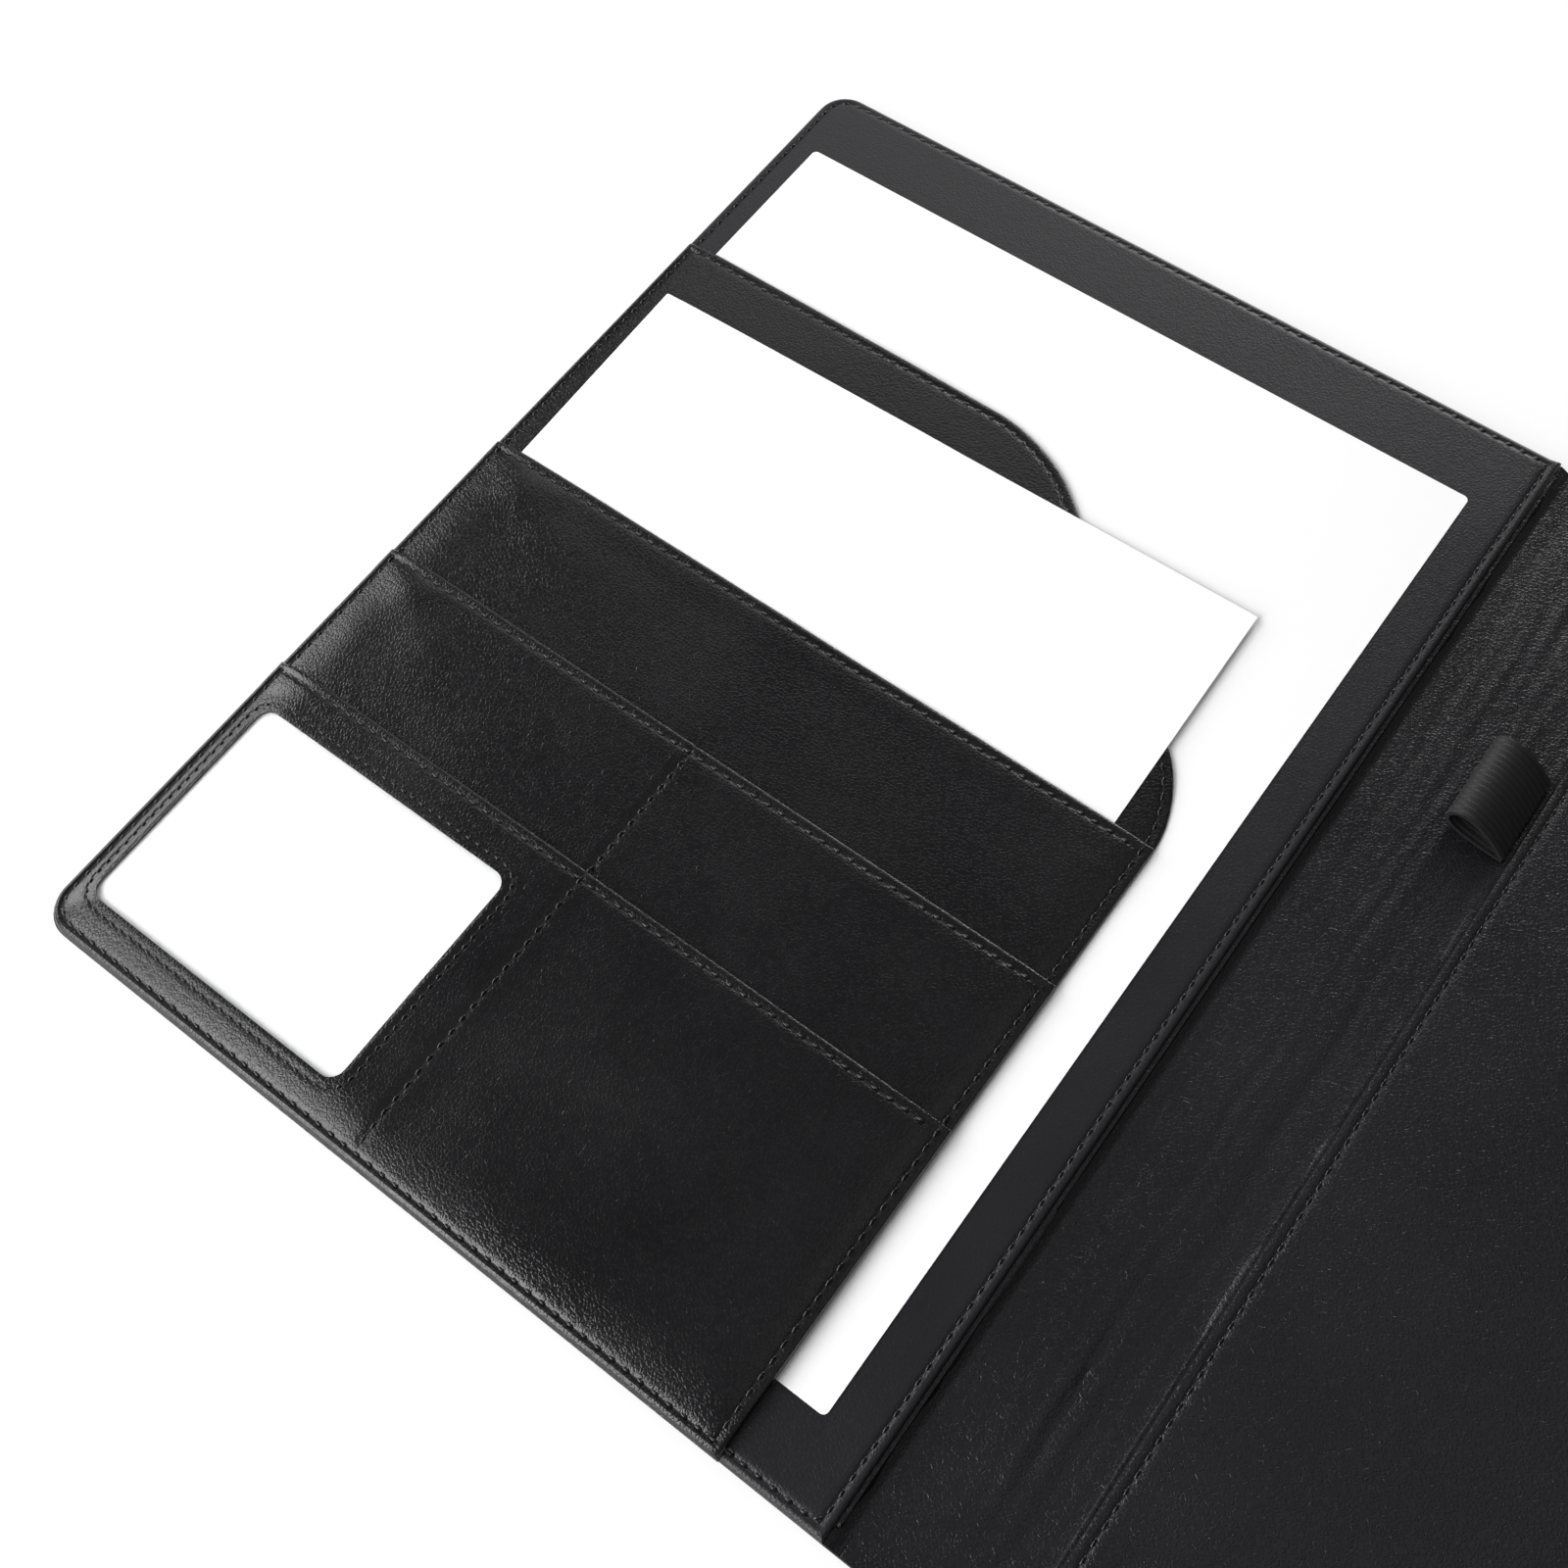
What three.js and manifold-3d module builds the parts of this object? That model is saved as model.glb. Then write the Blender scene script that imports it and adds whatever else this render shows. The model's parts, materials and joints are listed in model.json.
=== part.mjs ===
// Open clipboard folder of black leather: two padded covers joined by a soft spine band.
// The left cover holds a document flap, three stepped pockets and a window for a card.
// The right cover is the writing board, with a sprung clip at its top edge.
// Units are millimetres. +X runs to the right across the open folder, +Y up the page, +Z up.
// The origin is the middle of the folder's footprint, on the surface that it lies on.
import * as THREE from 'three';
import { mergeVertices } from 'three/addons/utils/BufferGeometryUtils.js';
import Module from 'manifold-3d';

const wasm = await Module();
wasm.setup();

// Covers and spine
const coverWidth = 240;
const coverLength = 334;
const coverCorner = 9;
const spineWidth = 42.4;
const foldGap = 0.4;
const skinThickness = 0.875;
const foamThickness = 1.25;
const boardThickness = 1.75;
const linerThickness = 0.875;
const turnedEdge = 0.875;
const boardPlay = 0.5;
const foldSeam = 3.5;
const edgeRound = 0.375;

// Pockets of the left cover, measured from its left and bottom edges
const pocketSheet = 0.625;
const pocketWidth = 212.3;
const pocketSeam = 3.5;
const pocketEdgeRound = 0.25;
const documentPocket = { height: 260.6, space: 0.375 };
const widePocket = { height: 174.3, space: 0.375 };
const cardPocket = { height: 130.8, space: 0.25 };
const idPocket = { height: 87.8, space: 1.0 };
const slantAcross = 87;
const slantDown = 70.3;
const slantTopRadius = 46;
const slantSideRadius = 34;
const dividerPlace = 104.3;
const dividerSeam = 2;
const hemDepth = 2.6;

// Card window
const windowWidth = 82.5;
const windowHeight = 63;
const windowCorner = 4;
const windowFromLeft = 7.9;
const windowFromBottom = 11.6;
const filmThickness = 0.25;
const filmMargin = 4;

// Papers
const letterWidth = 215.9;
const letterLength = 288.6;
const letterCorner = 1.5;
const letterFromLeft = 9.6;
const letterFromTop = 24.7;
const paperThickness = 0.25;
const insertWidth = 191.5;
const insertLength = 234;
const insertFromLeft = 7.6;
const insertFromTop = 93.2;
const insertTurn = 1.2;
const insertThickness = 0.25;
const idCardWidth = 88;
const idCardHeight = 69;
const idCardCorner = 3;
const idCardThickness = 0.5;

// Elastic pen loop, sewn into the right-hand seam of the spine band
const loopWidth = 25.4;
const loopFromTop = 100.0;
const loopReach = 17.6;
const loopRise = 6.6;
const loopBulge = 5.2;
const loopStrap = 1.25;
const loopTail = 1.6;
const loopSteps = 28;

// Spring clip of the writing board
const clipFromTop = 26;
const clipSheet = 1;
const clipBaseWidth = 82;
const clipBaseFront = 14;
const clipBaseRear = 18;
const clipBaseCorner = 3;
const pinHeight = 6;
const pinRadius = 1.5;
const pinPlay = 0.3;
const pinHeadRadius = 2.4;
const pinHeadLength = 0.9;
const earHalfLength = 7;
const earRadius = 3.2;
const earPlay = 0.4;
const jawReach = 24;
const jawRestGap = 0.3;
const jawCrown = 5;
const jawShoulder = 12;
const leverReach = 18;
const leverRise = 5.8;
const leverWidth = 52;
const leverCorner = 7;
const rivetSpacing = 52;
const rivetSetBack = 10;
const rivetRadius = 2;
const rivetHeadRadius = 3.6;
const rivetHeadHeight = 1;
const rivetFlange = 0.5;
const rivetPlay = 0.3;
const springWire = 1.2;
const springTurns = 4.5;
const springPitch = 1.34;
const springPlay = 0.7;
const springLeg = 9;
const springGap = 0.3;

const black = { color: 0x222126, roughness: 0.42, metalness: 0 };
const matteBlack = { color: 0x1b1b1e, roughness: 0.85, metalness: 0 };
const white = { color: 0xf4f4f4, roughness: 0.8, metalness: 0 };
const greyBoard = { color: 0x8d8a84, roughness: 0.95, metalness: 0 };
const greyFoam = { color: 0x55555a, roughness: 0.95, metalness: 0 };
const clearFilm = { color: 0xf2f5f7, roughness: 0.1, metalness: 0, transparent: true, opacity: 0.25 };
const nickel = { color: 0xc9cacd, roughness: 0.22, metalness: 1 };
const springSteel = { color: 0x9fa1a6, roughness: 0.35, metalness: 1 };

// Heights are kept on a fine grid of binary fractions, so that stacked faces share one plane.
const heightGrid = 64;
const level = (height) => Math.round(height * heightGrid) / heightGrid;

const skinTop = level(skinThickness);
const foamTop = level(skinTop + foamThickness);
const boardTop = level(foamTop + boardThickness);
const linerTop = level(boardTop + linerThickness);
const spineTop = level(skinTop + linerThickness);
const halfLength = coverLength / 2;

// Shapes and solids

// An outline through corners given as [x, y, radius], with each corner rounded by an arc.
function filleted(corners) {
  const shape = new THREE.Shape();
  corners.forEach(([x, y, radius], i) => {
    const corner = new THREE.Vector2(x, y);
    const before = corners.at(i - 1);
    const after = corners[(i + 1) % corners.length];
    const back = new THREE.Vector2(before[0], before[1]).sub(corner).normalize();
    const ahead = new THREE.Vector2(after[0], after[1]).sub(corner).normalize();
    const place = i === 0 ? 'moveTo' : 'lineTo';
    if (!radius) {
      shape[place](x, y);
      return;
    }
    const half = Math.acos(back.dot(ahead)) / 2;
    const start = back.clone().multiplyScalar(radius / Math.tan(half)).add(corner);
    const end = ahead.clone().multiplyScalar(radius / Math.tan(half)).add(corner);
    const middle = back.clone().add(ahead).normalize().multiplyScalar(radius / Math.sin(half)).add(corner);
    const from = Math.atan2(start.y - middle.y, start.x - middle.x);
    const to = Math.atan2(end.y - middle.y, end.x - middle.x);
    shape[place](start.x, start.y);
    shape.absarc(middle.x, middle.y, radius, from, to, back.cross(ahead) > 0);
  });
  shape.closePath();
  return shape;
}

function rectangle(left, right, bottom, top, radius = 0) {
  return filleted([[left, bottom, radius], [right, bottom, radius], [right, top, radius], [left, top, radius]]);
}

function circle(x, y, radius, hole = false) {
  const path = hole ? new THREE.Path() : new THREE.Shape();
  return path.absarc(x, y, radius, 0, Math.PI * 2, hole);
}

// Extrudes an outline from one height to another, with its rims rounded.
function slab(shape, low, high, round = 0) {
  const rim = level(round);
  const geometry = new THREE.ExtrudeGeometry(shape, {
    depth: high - low - 2 * rim,
    curveSegments: 10,
    bevelEnabled: rim > 0,
    bevelThickness: rim,
    bevelSize: rim,
    bevelOffset: -rim,
    bevelSegments: 2,
  });
  return geometry.translate(0, 0, low + rim);
}

// Turns a slab drawn in the YZ plane upright, from x = left to x = right.
function upright(shape, left, right) {
  const geometry = new THREE.ExtrudeGeometry(shape, { depth: right - left, bevelEnabled: false, curveSegments: 12 });
  return geometry.applyMatrix4(new THREE.Matrix4().set(0, 0, 1, left, 1, 0, 0, 0, 0, 1, 0, 0, 0, 0, 0, 1));
}

// The outline of a bent strip: its centre line given as points, and its thickness.
function strip(points, thickness) {
  const side = (sign) => points.map((point, i) => {
    const along = points[Math.min(i + 1, points.length - 1)].clone().sub(points[Math.max(i - 1, 0)]).normalize();
    return new THREE.Vector2(-along.y, along.x).multiplyScalar(sign * thickness / 2).add(point);
  });
  return { left: side(1), right: side(-1) };
}

function solid(geometry) {
  const bare = geometry.clone();
  bare.deleteAttribute('normal');
  bare.deleteAttribute('uv');
  const merged = mergeVertices(bare, 1e-4);
  return new wasm.Manifold(new wasm.Mesh({
    numProp: 3,
    vertProperties: merged.attributes.position.array,
    triVerts: new Uint32Array(merged.index.array),
  }));
}

function surface(body) {
  const mesh = body.getMesh();
  const geometry = new THREE.BufferGeometry();
  geometry.setAttribute('position', new THREE.BufferAttribute(mesh.vertProperties, mesh.numProp));
  geometry.setIndex(new THREE.BufferAttribute(mesh.triVerts, 1));
  const faceted = geometry.toNonIndexed();
  faceted.computeVertexNormals();
  return faceted;
}

const cut = (geometry, ...tools) => surface(tools.reduce((body, tool) => body.subtract(solid(tool)), solid(geometry)));
const join = (...geometries) => surface(geometries.map(solid).reduce((body, other) => body.add(other)));

function piece(name, geometry, look) {
  const mesh = new THREE.Mesh(geometry, new THREE.MeshStandardMaterial(look));
  mesh.name = name;
  return mesh;
}

// A rivet bore standing on the clip's plate, in the clip's own frame.
function bore(x, y, radius, low, high) {
  return slab(circle(x, y, radius), low, high);
}

// Covers

// A cover's outline, drawn from its fold line at x = 0 towards the free edge on one side.
function coverOutline(side, inset = 0, foldInset = 0) {
  const near = side * foldInset;
  const far = side * (coverWidth - inset);
  const end = halfLength - inset;
  const radius = Math.max(coverCorner - inset, 0.5);
  const corners = [[near, -end, 0], [far, -end, radius], [far, end, radius], [near, end, 0]];
  return filleted(side > 0 ? corners : corners.reverse());
}

// The outer leather: a shallow tray whose turned edge wraps the foam and the board.
function outerSkin(side) {
  const tray = slab(coverOutline(side), 0, boardTop, edgeRound);
  const hollow = slab(coverOutline(side, turnedEdge, foldSeam), skinTop, boardTop + 1);
  return cut(tray, hollow);
}

const coverCore = (side, low, high) => slab(coverOutline(side, turnedEdge + boardPlay, foldSeam + boardPlay), low, high);
const coverLiner = (side) => slab(coverOutline(side), boardTop, linerTop, edgeRound);

// Left cover: pockets, window and papers

const pocketLeft = -coverWidth;
const pocketRight = pocketLeft + pocketWidth;
const pocketBottom = -halfLength;
const divider = pocketLeft + dividerPlace;
const windowLeft = pocketLeft + windowFromLeft;
const windowBottom = pocketBottom + windowFromBottom;

// The heights between which each pocket's leather lies, from the liner upwards.
function stack(pockets) {
  let base = linerTop;
  return pockets.map(({ height, space }) => {
    const under = level(base + space);
    const top = level(under + pocketSheet);
    const placed = { base, under, top, edge: pocketBottom + height };
    base = top;
    return placed;
  });
}

const [documentLevel, wideLevel, cardLevel, idLevel] = stack([documentPocket, widePocket, cardPocket, idPocket]);

function pocketOutline(edge) {
  return filleted([
    [pocketLeft, pocketBottom, coverCorner],
    [pocketRight, pocketBottom, 0],
    [pocketRight, edge, 0],
    [pocketLeft, edge, 0],
  ]);
}

// The document flap's upper right corner is cut away on a slant.
function flapOutline(edge) {
  return filleted([
    [pocketLeft, pocketBottom, coverCorner],
    [pocketRight, pocketBottom, 0],
    [pocketRight, edge - slantDown, slantSideRadius],
    [pocketRight - slantAcross, edge, slantTopRadius],
    [pocketLeft, edge, 0],
  ]);
}

const clear = 5;

// The flap is sewn along the left and bottom edges and open at the top and right.
function documentFlap({ base, under, top, edge }) {
  const space = slab(
    rectangle(pocketLeft + pocketSeam, pocketRight + clear, pocketBottom + pocketSeam, edge + clear),
    base - clear, under,
  );
  return cut(slab(flapOutline(edge), base, top, pocketEdgeRound), space);
}

// A pocket sewn on three sides, with a dividing seam that stops at its hem.
function sewnPocket({ base, under, top, edge }, divided, opening) {
  const outline = pocketOutline(edge);
  if (opening) outline.holes.push(opening);
  const low = pocketBottom + pocketSeam;
  const left = pocketLeft + pocketSeam;
  const right = pocketRight - pocketSeam;
  const hollow = (from, to, floor) => slab(rectangle(from, to, floor, edge + clear), base - clear, under);
  const spaces = divided
    ? [
      hollow(left, divider - dividerSeam / 2, low),
      hollow(divider + dividerSeam / 2, right, low),
      hollow(left, right, edge - hemDepth),
    ]
    : [hollow(left, right, low)];
  return cut(slab(outline, base, top, pocketEdgeRound), ...spaces);
}

function windowOutline(grow = 0) {
  return rectangle(
    windowLeft - grow, windowLeft + windowWidth + grow,
    windowBottom - grow, windowBottom + windowHeight + grow, windowCorner,
  );
}

function idCardOutline() {
  const middleX = windowLeft + windowWidth / 2;
  const middleY = windowBottom + windowHeight / 2;
  return rectangle(
    middleX - idCardWidth / 2, middleX + idCardWidth / 2,
    middleY - idCardHeight / 2, middleY + idCardHeight / 2, idCardCorner,
  );
}

function letterSheet() {
  const left = pocketLeft + letterFromLeft;
  const top = halfLength - letterFromTop;
  const outline = rectangle(left, left + letterWidth, top - letterLength, top, letterCorner);
  return slab(outline, linerTop, level(linerTop + paperThickness));
}

function insertCard() {
  const sheet = slab(rectangle(0, insertWidth, -insertLength, 0), documentLevel.top, level(documentLevel.top + insertThickness));
  sheet.rotateZ(THREE.MathUtils.degToRad(insertTurn));
  return sheet.translate(pocketLeft + insertFromLeft, halfLength - insertFromTop, 0);
}

function leftCover() {
  const group = new THREE.Group();
  group.position.x = -spineWidth / 2;
  group.add(
    piece('left_outer_skin', outerSkin(-1), black),
    piece('left_foam', coverCore(-1, skinTop, foamTop), greyFoam),
    piece('left_board', coverCore(-1, foamTop, boardTop), greyBoard),
    piece('left_liner', coverLiner(-1), black),
    piece('letter_sheet', letterSheet(), white),
    piece('document_pocket', documentFlap(documentLevel), black),
    piece('insert_card', insertCard(), white),
    piece('wide_pocket', sewnPocket(wideLevel, false), black),
    piece('card_pocket', sewnPocket(cardLevel, true), black),
    piece('id_card', slab(idCardOutline(), cardLevel.top, level(cardLevel.top + idCardThickness)), white),
    piece('window_film', slab(windowOutline(filmMargin), level(idLevel.under - filmThickness), idLevel.under), clearFilm),
    piece('id_pocket', sewnPocket(idLevel, true, windowOutline()), black),
  );
  return group;
}

// Spine band and pen loop

function spineBand(low, high, round) {
  const half = spineWidth / 2 - foldGap;
  return slab(rectangle(-half, half, -halfLength, halfLength), low, high, round);
}

// The elastic leaves the seam, swells into a leaf-shaped loop and comes back to the seam.
function penLoop() {
  const centre = (angle) => {
    const out = loopReach * (1 - Math.cos(angle)) / 2;
    const rise = loopRise * Math.sin(Math.PI / 2 * out / loopReach);
    return new THREE.Vector2(-out, rise + loopBulge * Math.sin(angle) * Math.sin(angle / 2));
  };
  const run = (start) => Array.from({ length: loopSteps + 1 }, (_, i) =>
    centre(start + (2 * Math.PI - 2 * start) * i / loopSteps));
  const strands = (angle) => 2 * loopBulge * Math.sin(angle) * Math.sin(angle / 2);
  let meet = 0;
  while (strands(meet) < loopStrap * 1.15) meet += 0.01;
  const outer = strip(run(meet), loopStrap).right;
  const inner = strip(run(meet * 1.25), loopStrap).left;
  const outline = new THREE.Shape([
    new THREE.Vector2(0, loopStrap), ...outer,
    new THREE.Vector2(-loopTail, -loopStrap), new THREE.Vector2(0, -loopStrap),
  ]);
  outline.holes.push(new THREE.Path(inner));
  const geometry = new THREE.ExtrudeGeometry(outline, { depth: loopWidth, bevelEnabled: false });
  geometry.rotateX(Math.PI / 2);
  return geometry.translate(spineWidth / 2 - foldGap, halfLength - loopFromTop + loopWidth / 2, level(spineTop + loopStrap));
}

function spine() {
  const group = new THREE.Group();
  group.add(
    piece('spine_outer_skin', spineBand(0, skinTop, 0), black),
    piece('spine_liner', spineBand(skinTop, spineTop, 0), black),
    piece('pen_loop', penLoop(), matteBlack),
  );
  return group;
}

// Spring clip, in a frame on the board's face below the pin

const earFace = clipBaseWidth / 2;
const jawFace = earFace + earPlay + clipSheet;
const rivetPlaces = [-rivetSpacing / 2, rivetSpacing / 2];

function clipBase() {
  const outline = rectangle(-earFace, earFace, -clipBaseFront, clipBaseRear, clipBaseCorner);
  rivetPlaces.forEach((x) => outline.holes.push(circle(x, rivetSetBack, rivetRadius + rivetPlay, true)));
  const ear = new THREE.Shape();
  ear.moveTo(-earHalfLength, 0);
  ear.lineTo(earHalfLength, 0);
  ear.lineTo(earRadius, pinHeight);
  ear.absarc(0, pinHeight, earRadius, 0, Math.PI, false);
  ear.closePath();
  ear.holes.push(circle(0, pinHeight, pinRadius + pinPlay, true));
  return join(
    slab(outline, 0, clipSheet),
    upright(ear, earFace - clipSheet, earFace),
    upright(ear, -earFace, clipSheet - earFace),
  );
}

// The jaw's side view: lip, sloping front, crown over the pin and finger lever.
const jawCurve = new THREE.SplineCurve([
  new THREE.Vector2(-jawReach, jawRestGap),
  new THREE.Vector2(-jawReach, clipSheet * 2.6),
  new THREE.Vector2(-jawReach + clipSheet * 3.4, pinHeight),
  new THREE.Vector2(-jawShoulder, pinHeight + jawCrown * 0.68),
  new THREE.Vector2(0, pinHeight + jawCrown),
  new THREE.Vector2(leverReach / 2, pinHeight + jawCrown * 0.86),
  new THREE.Vector2(leverReach, pinHeight + leverRise),
]);
const jawSteps = 30;

function jawCheek() {
  const crown = jawCurve.getPoints(jawSteps).filter((point) => point.x > -jawShoulder * 1.4 && point.x < leverReach / 2);
  const cheek = new THREE.Shape();
  cheek.absarc(0, pinHeight, earRadius, Math.PI, 2 * Math.PI, false);
  crown.reverse().forEach((point) => cheek.lineTo(point.x, point.y));
  cheek.closePath();
  cheek.holes.push(circle(0, pinHeight, pinRadius + pinPlay, true));
  return cheek;
}

function clipJaw() {
  const sides = strip(jawCurve.getPoints(jawSteps), clipSheet);
  const profile = new THREE.Shape([...sides.left, ...sides.right.reverse()]);
  const front = -jawReach - clipSheet;
  const rear = leverReach + clipSheet;
  const half = leverWidth / 2;
  const plan = filleted([
    [-jawFace, front, leverCorner / 2], [jawFace, front, leverCorner / 2],
    [jawFace, earHalfLength, leverCorner], [half + leverCorner, earHalfLength + leverCorner, leverCorner / 2],
    [half, rear, leverCorner], [-half, rear, leverCorner],
    [-half - leverCorner, earHalfLength + leverCorner, leverCorner / 2], [-jawFace, earHalfLength, leverCorner],
  ]);
  const plate = solid(upright(profile, -jawFace, jawFace)).intersect(solid(slab(plan, -clear, pinHeight * 4)));
  const cheeks = [upright(jawCheek(), jawFace - clipSheet, jawFace), upright(jawCheek(), -jawFace, clipSheet - jawFace)];
  return surface(cheeks.reduce((body, cheek) => body.add(solid(cheek)), plate));
}

function clipPin() {
  const end = jawFace + springGap;
  const profile = [
    [0, -end - pinHeadLength], [pinHeadRadius * 0.7, -end - pinHeadLength], [pinHeadRadius, -end - pinHeadLength / 3],
    [pinHeadRadius, -end], [pinRadius, -end], [pinRadius, end], [pinHeadRadius, end],
    [pinHeadRadius, end + pinHeadLength / 3], [pinHeadRadius * 0.7, end + pinHeadLength], [0, end + pinHeadLength],
  ].map(([x, y]) => new THREE.Vector2(x, y));
  return new THREE.LatheGeometry(profile, 24).rotateZ(Math.PI / 2).translate(0, 0, pinHeight);
}

// A torsion spring coiled round the pin, with one leg on the base and one under the lever.
function clipSpring() {
  const radius = pinRadius + springPlay + springWire / 2;
  const rest = clipSheet + springGap + springWire / 2;
  const turnSteps = 14;
  const count = Math.round(springTurns * turnSteps);
  const width = springTurns * springPitch;
  const points = [new THREE.Vector3(-width / 2, springLeg, rest)];
  for (let i = 0; i <= count; i += 1) {
    const angle = -Math.PI / 2 - 2 * Math.PI * springTurns * i / count;
    points.push(new THREE.Vector3(
      width * (i / count - 0.5), radius * Math.cos(angle), pinHeight + radius * Math.sin(angle),
    ));
  }
  points.push(new THREE.Vector3(width / 2, springLeg, pinHeight + radius));
  const path = new THREE.CatmullRomCurve3(points, false, 'centripetal');
  const wire = new THREE.Shape(circle(0, 0, springWire / 2).getPoints(2));
  return new THREE.ExtrudeGeometry(wire, { steps: points.length * 2, extrudePath: path });
}

function clipRivet() {
  const foot = -(linerThickness + boardThickness);
  const profile = [
    [0, foot - rivetFlange], [rivetHeadRadius, foot - rivetFlange], [rivetHeadRadius, foot], [rivetRadius, foot],
    [rivetRadius, clipSheet], [rivetHeadRadius, clipSheet], [rivetHeadRadius * 0.86, clipSheet + rivetHeadHeight * 0.6],
    [rivetHeadRadius * 0.5, clipSheet + rivetHeadHeight * 0.92], [0, clipSheet + rivetHeadHeight],
  ].map(([x, y]) => new THREE.Vector2(x, y));
  return new THREE.LatheGeometry(profile, 20).rotateX(Math.PI / 2);
}

function clip() {
  const group = new THREE.Group();
  group.position.set(coverWidth / 2, halfLength - clipFromTop, linerTop);
  group.add(
    piece('clip_base', clipBase(), nickel),
    piece('clip_jaw', clipJaw(), nickel),
    piece('clip_pin', clipPin(), nickel),
    piece('clip_spring', clipSpring(), springSteel),
  );
  rivetPlaces.forEach((x, i) => {
    const rivet = piece(['clip_rivet_left', 'clip_rivet_right'][i], clipRivet(), nickel);
    rivet.position.set(x, rivetSetBack, 0);
    group.add(rivet);
  });
  return group;
}

// Right cover: the writing board, bored for the clip's rivets

function bored(geometry, radius, low, high) {
  const y = halfLength - clipFromTop + rivetSetBack;
  return cut(geometry, ...rivetPlaces.map((x) => bore(coverWidth / 2 + x, y, radius, low, high)));
}

function rightCover() {
  const group = new THREE.Group();
  group.position.x = spineWidth / 2;
  const shank = rivetRadius + rivetPlay;
  const foot = rivetHeadRadius + rivetPlay;
  group.add(
    piece('right_outer_skin', outerSkin(1), black),
    piece('right_foam', bored(coverCore(1, skinTop, foamTop), foot, 0, foamTop + clear), greyFoam),
    piece('right_board', bored(coverCore(1, foamTop, boardTop), shank, 0, linerTop), greyBoard),
    piece('right_panel', bored(coverLiner(1), shank, 0, linerTop + clear), black),
    clip(),
  );
  return group;
}

const group = new THREE.Group();
group.name = 'clipboard_folder';
group.add(leftCover(), spine(), rightCover());

export default group;
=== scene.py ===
# %% [markdown]
# # An open clipboard folder in black leather
#
# The real folder is two stiff boards wrapped in soft coated leather, joined by a soft band that
# works as the spine. Its left cover carries a flap and three stepped pockets, all sewn with black
# thread. The pieces below are modelled one at a time, over a frame that already holds their places.

# %% Load the frame
import json
import math
import random

import bmesh
import bpy
from mathutils import Matrix, Vector, noise
from mathutils.bvhtree import BVHTree

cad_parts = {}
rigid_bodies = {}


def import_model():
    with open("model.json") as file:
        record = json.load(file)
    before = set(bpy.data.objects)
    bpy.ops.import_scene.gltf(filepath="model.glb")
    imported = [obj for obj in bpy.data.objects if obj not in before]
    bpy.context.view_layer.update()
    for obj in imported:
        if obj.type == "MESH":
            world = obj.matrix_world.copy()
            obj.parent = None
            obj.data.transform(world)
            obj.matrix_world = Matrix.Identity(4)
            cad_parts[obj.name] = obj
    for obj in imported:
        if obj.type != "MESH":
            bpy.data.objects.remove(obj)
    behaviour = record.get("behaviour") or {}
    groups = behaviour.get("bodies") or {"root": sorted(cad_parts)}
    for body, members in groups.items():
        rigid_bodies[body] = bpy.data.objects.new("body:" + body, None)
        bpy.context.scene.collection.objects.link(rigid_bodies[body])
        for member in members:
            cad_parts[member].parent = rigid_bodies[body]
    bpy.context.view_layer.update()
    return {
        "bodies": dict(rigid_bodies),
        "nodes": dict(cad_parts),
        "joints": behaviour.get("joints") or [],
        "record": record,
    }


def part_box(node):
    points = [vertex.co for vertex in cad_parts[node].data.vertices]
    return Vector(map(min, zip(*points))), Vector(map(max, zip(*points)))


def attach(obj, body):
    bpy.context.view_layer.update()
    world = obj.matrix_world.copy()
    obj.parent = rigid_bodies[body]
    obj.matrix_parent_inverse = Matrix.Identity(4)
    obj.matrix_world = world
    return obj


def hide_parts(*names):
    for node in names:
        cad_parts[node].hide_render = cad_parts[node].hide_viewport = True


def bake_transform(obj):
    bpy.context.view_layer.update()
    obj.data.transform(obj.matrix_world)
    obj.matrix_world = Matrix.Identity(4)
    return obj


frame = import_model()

MM = 0.001
random.seed(7)

# %% [markdown]
# ## Camera
#
# The photograph was taken close up, from above the lower end of the spine band. The folder's long
# straight seams vanish towards two points, and they fix the lens, the height and the turn of the
# camera. Its three axes are written as a turn matrix, so that the view can be repeated exactly.

# %% Camera
CAMERA_PLACE = Vector((-1.2, -177.1, 418.2)) * MM
CAMERA_RIGHT = Vector((0.7991, 0.5996, -0.0433))
CAMERA_BACK = Vector((0.2884, -0.3192, 0.9027))
LENS = 41.98
SENSOR = 36.0

camera_back = CAMERA_BACK.normalized()
camera_right = (CAMERA_RIGHT - camera_back * CAMERA_RIGHT.dot(camera_back)).normalized()
camera_up = camera_back.cross(camera_right)
bpy.ops.object.camera_add()
camera = bpy.context.object
camera.name = "camera"
turn = Matrix((camera_right, camera_up, camera_back)).transposed()
camera.matrix_world = Matrix.Translation(CAMERA_PLACE) @ turn.to_4x4()
camera.data.lens = LENS
camera.data.sensor_width = SENSOR
camera.data.clip_start = 0.01
bpy.context.scene.camera = camera
print("camera", [round(v / MM) for v in camera.location], "mm")

# %% [markdown]
# ## Nodes and colours
#
# Every material here is a small tree of nodes. One helper adds a node with its settings and its
# links, and another turns the hex colours that people write into the linear values that light uses.

# %% Node and colour helpers
def colour(hex_code):
    """A linear colour from an sRGB hex code such as 8a8a8a."""
    channels = [int(hex_code[i:i + 2], 16) / 255 for i in (0, 2, 4)]
    return [c / 12.92 if c <= 0.04045 else ((c + 0.055) / 1.055) ** 2.4 for c in channels] + [1]


def add(tree, kind, inputs=None, **settings):
    """Adds a node, with its settings, and a value or a link for each input."""
    made = tree.nodes.new("ShaderNode" + kind)
    for name, value in settings.items():
        setattr(made, name, value)
    for socket, value in (inputs or {}).items():
        if isinstance(value, bpy.types.NodeSocket):
            tree.links.new(value, made.inputs[socket])
        else:
            made.inputs[socket].default_value = value
    return made


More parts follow.
